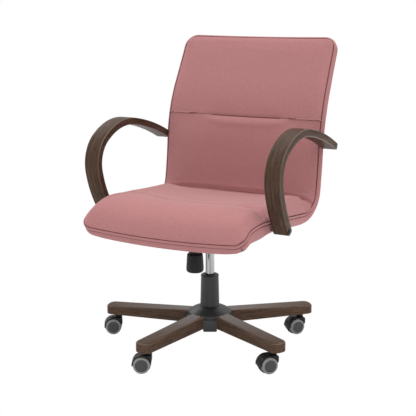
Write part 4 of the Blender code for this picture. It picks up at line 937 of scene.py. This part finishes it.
def build_upholstery():
    rows = corner_rows(FRONT_RADIUS) + panel_rows(FRONT_RADIUS, JUNCTION_S, CREASE_ROW_S)
    seat = padded_face(rows, seat_height, seat_pins, SEAT_PRESSURE, SEAT_CAP)
    made = piece("seat_pad", seat, ROSE, "seat", ("seat_cushion",), 180.0)
    rows = panel_rows(JUNCTION_S, TOP_S - TOP_RADIUS, TOP_S - TUCK_FROM_TOP)
    rows += [TOP_S - BACK_PAD_INSET - step for step in reversed(corner_rows(TOP_RADIUS - BACK_PAD_INSET))]
    back = padded_face(rows, back_height, back_pins, BACK_PRESSURE, BACK_CAP)
    made = piece("back_pad", back, ROSE, "seat", ("back_cushion",), 180.0)
    piece("edge_band", edge_band(), ROSE, "seat", (), 180.0)
    # Painted shade: dark lines along the seat's fold and the deep middle of the back's fold; the back's thin
    # full-width line is its cross seam, darkened as well.
    dark_fold_line("seat_fold_shade_line", -0.150, 0.205, seat_crease_s, seat_height, 0.0004, 0.0002)
    dark_fold_line("back_fold_seam", -0.250, 0.225, tuck_s, back_height, 0.0004, 0.0004)
    dark_fold_line("back_fold_deep_shade", -0.105, 0.132, tuck_s, back_height, 0.0011, 0.0010)
    corner_seam()
    rim_seam("seam_upper", lambda s: seam_inset(s) - 0.0002, lambda s: shoulder(s) - 0.0008, 0.0010)
    rim_seam("seam_lower", lambda s: -0.0001, lambda s: -welt_width(s) - 0.0002, 0.0009)
    field_panel("rear_panel", BEND_START_S, TOP_S - PANEL_INSET, rear_height, ROSE, ("rear_cover",))
    field_panel("under_lining", PANEL_INSET, BEND_START_S, under_height, LINING, ("under_cover",))


# Arms

def arm_mesh(centre_x):
    """A bentwood strip swept along its path, with rounded long edges and eased ends."""
    stops = [ARM_PATH.length * index / ARM_STEPS for index in range(ARM_STEPS + 1)]
    bm = bmesh.new()
    grain = bm.verts.layers.float_vector.new("grain")
    edge_highlight_mask = bm.verts.layers.float.new("edge_highlight_mask")

    def ring(s):
        from_end = min(s, ARM_PATH.length - s)
        bend = max(1.0 - from_end / ARM_END_ROUNDING, 0.0)
        cut = 0.6 * ARM_END_ROUNDING * (1.0 - math.sqrt(1.0 - bend ** 2))
        share = s / ARM_PATH.length
        half = (ARM_THICKNESS[0] + (ARM_THICKNESS[1] - ARM_THICKNESS[0]) * share) / 2
        made = []
        for sign_x, sign_t in ((1, 1), (-1, 1), (-1, -1), (1, -1)):
            for index in range(ARM_ARC_STEPS + 1):
                turn = radians(90.0 * index / ARM_ARC_STEPS)
                first, second = (sin(turn), cos(turn)) if sign_x * sign_t < 0 else (cos(turn), sin(turn))
                across = sign_x * (ARM_WIDTH / 2 - ARM_ROUNDING + ARM_ROUNDING * first - 0.4 * cut)
                deep = sign_t * (half - ARM_ROUNDING + ARM_ROUNDING * second - cut)
                y, z = ARM_PATH.offset(s, deep)
                vert = bm.verts.new((centre_x + across, y, z))
                vert[grain] = (across, s, deep)
                # Painted-highlight mask, strongest halfway round each rounded long edge.
                vert[edge_highlight_mask] = sin(2.0 * turn)
                made.append(vert)
        return made

    ends = [ARM_END_ROUNDING * share for share in (0.0, 0.03, 0.12, 0.27, 0.50, 0.75)]
    middle = [s for s in stops if ARM_END_ROUNDING <= s <= ARM_PATH.length - ARM_END_ROUNDING]
    rings = [ring(s) for s in ends + middle + [ARM_PATH.length - step for step in reversed(ends)]]
    skin(bm, rings, True)
    bm.faces.new(rings[0])
    bm.faces.new(rings[-1])
    return mesh_from(bm, "arm")


def build_arms():
    for side_name, side in (("left", 1), ("right", -1)):
        centre = side * (ARM_INNER_X + ARM_WIDTH / 2)
        piece(f"bent_arm_{side_name}", arm_mesh(centre), ARM_WOOD, "seat", (f"arm_{side_name}",), 50.0)
        dressed_copy(f"arm_stud_back_{side_name}", PAINTED, "seat", 0.0006)
        turned = Matrix.Translation((0.0, *ARM_BOLT)) @ Matrix.Rotation(radians(90.0 * side), 4, "Y")
        sleeve = lathe(filleted([(0.0, ARM_INNER_X - 0.0450), (0.0026, ARM_INNER_X - 0.0450),
                                 (0.0026, ARM_INNER_X + 0.0150), (0.0, ARM_INNER_X + 0.0150)], 0.0008, 2), 32)
        piece(f"bolt_sleeve_{side_name}", place(sleeve, turned), PAINTED, "seat",
              (f"arm_stud_seat_{side_name}",), 40.0)
        face = ARM_INNER_X + ARM_WIDTH
        cap = lathe(filleted([(0.0, face + 0.0034), (0.0050, face + 0.0032), (0.0078, face + 0.0018),
                              (0.0080, face - 0.0010), (0.0, face - 0.0010)], 0.0012, 3), 48)
        piece(f"bolt_cap_{side_name}", place(cap, turned), PLASTIC, "seat", (), 50.0)


# Base

def leg_angle(index):
    return radians(FIRST_LEG_ANGLE + index * 360.0 / LEG_COUNT)


def leg_top_at(radius):
    share = (radius - LEG_SLOPE_START) / (LEG_TIP_RADIUS - LEG_SLOPE_START)
    return LEG_ROOT_TOP_Z + (LEG_TIP_TOP_Z - LEG_ROOT_TOP_Z) * share


def leg_mesh():
    """A tapering leg with a round-cornered tip and softly rounded upper edges, along +X."""
    plan = [(LEG_ROOT_RADIUS, -LEG_WIDTH / 2)]
    for sign, start in ((-1, -90.0), (1, 0.0)):
        for index in range(13):
            turn = radians(start + 90.0 * index / 12)
            plan.append((LEG_TIP_RADIUS - LEG_CORNER + LEG_CORNER * cos(turn),
                         sign * (LEG_WIDTH / 2 - LEG_CORNER) + LEG_CORNER * sin(turn)))
    plan.append((LEG_ROOT_RADIUS, LEG_WIDTH / 2))
    bm = bmesh.new()
    lifted = extruded(bm, [(x, y, LEG_BOTTOM_Z) for x, y in plan])
    for vert in lifted:
        vert.co.z = leg_top_at(vert.co.x)
    root = min(vert.co.x for vert in lifted)

    def round_rim(upper, width, segments):
        bm.normal_update()
        chosen = []
        for edge in bm.edges:
            if all(vert.co.x < root + 0.0001 for vert in edge.verts):
                continue
            lids = [face for face in edge.link_faces if abs(face.normal.z) > 0.9]
            high = all(vert.co.z > LEG_BOTTOM_Z + 0.012 for vert in edge.verts)
            if len(lids) == 1 and high == upper:
                chosen.append(edge)
        bmesh.ops.bevel(bm, geom=chosen, offset=width, segments=segments, affect="EDGES", profile=0.5)

    round_rim(True, 0.0060, 5)
    round_rim(False, 0.0018, 3)
    grain = bm.verts.layers.float_vector.new("grain")
    edge_highlight_mask = bm.verts.layers.float.new("edge_highlight_mask")
    bm.normal_update()
    for vert in bm.verts:
        vert[grain] = vert.co
        # Painted-highlight mask on the rounded upper edges, where they face up at a slant.
        vert[edge_highlight_mask] = max(1.0 - abs(vert.normal.z - 0.70) / 0.25, 0.0)
    return mesh_from(bm, "leg")


def sloping_hub(spot):
    """The hub's blocks between the legs fall away under the dome's rim."""
    past = max(math.hypot(spot.x, spot.y) - HUB_SLOPE_RADIUS, 0.0)
    fall = past * HUB_SLOPE if spot.z > HUB_SLOPE_FROM_Z else 0.0
    return Vector((spot.x, spot.y, spot.z - fall))


def build_base():
    for index in range(LEG_COUNT):
        mesh = place(leg_mesh(), Matrix.Rotation(leg_angle(index), 4, "Z"))
        piece(f"star_leg_{index + 1}", mesh, LEG_WOOD, "star_base", (f"leg_{index + 1}",), 40.0)
    dressed_copy("hub", COVER_PLASTIC, "star_base", 0.0040, sloping_hub)
    dressed_copy("hub_plate", STEEL, "star_base", 0.0006)
    dome = filleted([(0.0253, 0.1232), (0.0330, 0.1232), (0.0430, 0.1190), (0.0530, 0.1145), (0.0620, 0.1095),
                     (0.0680, 0.1055), (0.0700, 0.1010), (0.0700, 0.0950), (0.0672, 0.0950)], 0.0055, 5)
    piece("dome_cover", lathe(dome, 96), COVER_PLASTIC, "star_base", ("hub_cover",), 60.0)
    cover = filleted([(0.0150, 0.2160), (0.0168, 0.2236), (0.0176, 0.2244), (0.0254, 0.2244), (0.0280, 0.2218),
                      (0.0283, 0.2185), (0.0278, 0.2175), (0.0300, 0.1262), (0.0312, 0.1254), (0.0312, 0.1238),
                      (0.0290, 0.1238)], 0.0010, 3)
    piece("column_sleeve", lathe(cover, 96), COVER_PLASTIC, "star_base", ("column_cover",), 50.0)
    repaint(column_tube=PAINTED, guide_bush=PLASTIC, lift_rod=STEEL)
    rod = filleted([(0.0, 0.1050), (0.0130, 0.1050), (0.0140, 0.1060), (0.0140, 0.3250), (0.0125, 0.3550),
                    (0.0, 0.3550)], 0.0008, 3)
    piece("lift_piston", lathe(rod, 72), CHROME, "lift", ("piston",), 40.0)


def hood_mesh():
    """Hood, web, neck and stem of one castor, pivot on Z and axle along X."""
    wheel_y = -CASTOR_TRAIL
    outer = HOOD_INNER_RADIUS + HOOD_WALL

    def arc(radius, start, stop, count):
        turns = [radians(start + (stop - start) * step / count) for step in range(count + 1)]
        return [(wheel_y + radius * cos(turn), WHEEL_RADIUS + radius * sin(turn)) for turn in turns]

    crown = WHEEL_RADIUS + outer
    turns = [radians(30.0 * step) for step in range(4)]
    corner = [(NECK_RADIUS - 0.006 + 0.006 * sin(turn), crown - 0.006 + 0.006 * cos(turn)) for turn in turns]
    outline = arc(outer, 186.0, 90.0, 20) + corner + [(NECK_RADIUS, WHEEL_RADIUS + 0.0110),
                                                     (NECK_RADIUS - 0.0015, WHEEL_RADIUS + 0.0080)]
    outline += arc(HOOD_INNER_RADIUS, 10.0, 186.0, 28)
    shell = profile_plate(outline, HOOD_HALF_WIDTH, 0.0013, 3)
    web = profile_plate(arc(HOOD_INNER_RADIUS + HOOD_WALL / 2, 0.0, 330.0, 30), 0.0055, 0.0008, 2)
    floor = LEG_BOTTOM_Z - 0.0003
    neck = lathe(filleted([(0.0, floor), (0.0125, floor), (0.0125, floor - 0.0028),
                           (NECK_RADIUS, floor - 0.0045), (NECK_RADIUS, crown - 0.004),
                           (0.0, crown - 0.004)], 0.0008, 3), 48)
    stem = lathe([(0.0, 0.0890), (0.0045, 0.0890), (0.0055, 0.0880), (0.0055, floor - 0.001),
                  (0.0, floor - 0.001)], 32)
    axle = place(lathe([(0.0, 0.0200), (0.0040, 0.0200), (0.0040, -0.0200), (0.0, -0.0200)], 24),
                 Matrix.Translation((0.0, wheel_y, WHEEL_RADIUS)) @ LIE_ALONG_X)
    return merged(shell, web, neck, stem, axle)


def wheel_meshes():
    """Disk and tread of one wheel, its inner face at x = 0 and its outer face towards +X."""
    face = WHEEL_WIDTH
    disk = filleted([(0.0, face - 0.0014), (0.0100, face - 0.0012), (0.0160, face - 0.0008),
                     (DISK_RADIUS, face - 0.0016), (DISK_RADIUS, 0.0006), (0.0046, 0.0006)], 0.0008, 3)
    tread = filleted([(DISK_RADIUS + 0.0001, face - 0.0012), (0.0205, face),
                      (WHEEL_RADIUS - 0.0006, face - 0.0022), (WHEEL_RADIUS, face - 0.0060),
                      (WHEEL_RADIUS, 0.0022), (WHEEL_RADIUS - 0.0012, 0.0006),
                      (DISK_RADIUS + 0.0001, 0.0006)], 0.0014, 4)
    return lathe(disk, 64), lathe(tread, 80)


def build_castors():
    for index in range(LEG_COUNT):
        number = index + 1
        angle = leg_angle(index)
        pivot = Vector((CASTOR_PIVOT_RADIUS * cos(angle), CASTOR_PIVOT_RADIUS * sin(angle), 0.0))
        heading = radians(CASTOR_HEADING + CASTOR_TURNS[index])
        swivel = Matrix.Translation(pivot) @ Matrix.Rotation(heading, 4, "Z")
        piece(f"castor_body_{number}", place(hood_mesh(), swivel), PLASTIC, f"castor_{number}",
              (f"castor_{number}_hood",), 40.0)
        for side, turn in (("a", 0.0), ("b", 180.0)):
            spin = swivel @ Matrix.Translation((0.0, -CASTOR_TRAIL, WHEEL_RADIUS))
            spin = spin @ Matrix.Rotation(radians(turn), 4, "Z") @ Matrix.Translation((WHEEL_INNER_X, 0.0, 0.0))
            disk, tread = wheel_meshes()
            body = f"wheel_{number}_{side}"
            piece(f"wheel_disk_{number}_{side}", place(disk, spin @ LIE_ALONG_X), DISK, body,
                  (f"castor_{number}_wheel_{side}",), 40.0)
            piece(f"wheel_tread_{number}_{side}", place(tread, spin @ LIE_ALONG_X), TREAD, body,
                  (f"castor_{number}_tyre_{side}",), 60.0)


# Mechanism

def knob_mesh():
    """The tension knob, with flutes round its sloping side."""
    def fluted(turn, radius, height):
        if radius < 0.0205 or not 0.2600 < height < 0.3115:
            return radius
        wave = 0.5 - 0.5 * cos(KNOB_FLUTES * turn)
        return radius - FLUTE_DEPTH * (1.0 - wave) ** 3

    profile = filleted([(0.0, 0.2555), (0.0225, 0.2555), (0.0264, 0.2600), (0.0268, 0.2680), (0.0242, 0.3090),
                        (0.0222, 0.3128), (0.0182, 0.3133), (0.0180, 0.3216), (0.0060, 0.3216)], 0.0020, 4)
    return place(lathe(profile, KNOB_FLUTES * 12, fluted), Matrix.Translation((0.0, KNOB_Y, 0.0)))


def build_mechanism():
    dressed_copy("tilt_housing", PAINTED, "turntable", 0.0010)
    dressed_copy("seat_plate", PAINTED, "seat", 0.0006)
    dressed_copy("tilt_pin", STEEL, "seat", 0.0005)
    dressed_copy("tension_bolt", STEEL, "turntable", 0.0004)
    piece("fluted_knob", knob_mesh(), PLASTIC, "knob", ("tension_knob",), 50.0)
    repaint(tilt_spring=STEEL, shell=PLY)
    dressed_copy("height_lever", PAINTED, "lever", 0.0006)
    dressed_copy("lever_grip", PLASTIC, "lever", 0.0012)


# Stage, light and camera

CAMERA_PLACE = (1.3784, -2.6017, 1.0632)
CAMERA_TURN = (77.9479, 0.0, 28.0266)
CAMERA_LENS = 84.51
SENSOR_WIDTH = 36.0
AMBIENT = 0.26
OVERHEAD = 1.50
LIGHTS = (("key", (0.6, -2.2, 3.6), (0.0, 0.0, 0.5), 1.6, 6.0),
          ("top", (-0.2, 1.3, 3.5), (0.0, 0.0, 0.4), 1.8, 6.0),
          ("rim", (-2.4, 1.2, 2.2), (0.0, 0.0, 0.5), 1.2, 8.0),
          ("side", (2.6, 0.3, 1.9), (0.1, 0.0, 0.6), 1.0, 7.0))


def build_stage():
    """An even surround, stronger overhead, that the camera sees as white."""
    scene = bpy.context.scene
    scene.view_settings.view_transform = "Standard"
    scene.world = bpy.data.worlds.new("studio")
    scene.world.use_nodes = True
    surround = Nodes(scene.world.node_tree)
    ways = surround.add("SeparateXYZ", {"Vector": surround.add("TexCoord").outputs["Generated"]})
    strength = surround.spread(ways.outputs["Z"], AMBIENT, AMBIENT + OVERHEAD)
    ambient = surround.set(surround.tree.nodes["Background"],
                           {"Color": (0.98, 0.985, 1.0), "Strength": strength})
    white = surround.add("Background", {"Color": (1.0, 1.0, 1.0), "Strength": 1.0})
    surround.camera_sees(white.outputs["Background"], ambient.outputs["Background"],
                         surround.tree.nodes["World Output"].inputs["Surface"])


def build_lights():
    for name, position, target, size, power in LIGHTS:
        light = bpy.data.lights.new(name, "AREA")
        light.shape = "DISK"
        light.size = size
        light.energy = power
        made = linked(name, light)
        made.location = position
        made.rotation_euler = (Vector(target) - Vector(position)).to_track_quat("-Z", "Y").to_euler()


def build_floor():
    """A pale floor that lights the chair from below and that the camera sees as white."""
    bm = bmesh.new()
    bmesh.ops.create_grid(bm, x_segments=2, y_segments=2, size=6.0)
    made = linked("studio_floor", mesh_from(bm, "studio_floor"))
    made.location = (0.0, 0.0, -0.0005)
    look = Look("floor_paper", Roughness=0.9)
    grain = look.spread(look.noise(look.coordinates(), 40.0), 0.0, 0.3)
    look.set(look.shader, {"Base Color": look.mix(grain, (0.86, 0.86, 0.86), (0.84, 0.84, 0.84))})
    bright = look.add("Emission", {"Strength": 1.0})
    look.camera_sees(bright.outputs["Emission"], look.shader.outputs["BSDF"],
                     look.tree.nodes["Material Output"].inputs["Surface"])
    made.data.materials.append(look.material)


def build_camera():
    lens = bpy.data.cameras.new("photo_camera")
    lens.lens = CAMERA_LENS
    lens.sensor_width = SENSOR_WIDTH
    made = linked("photo_camera", lens)
    made.location = CAMERA_PLACE
    made.rotation_euler = [radians(turn) for turn in CAMERA_TURN]
    bpy.context.scene.camera = made


build_camera()
build_stage()
build_lights()
build_floor()
build_upholstery()
build_arms()
build_base()
build_castors()
build_mechanism()
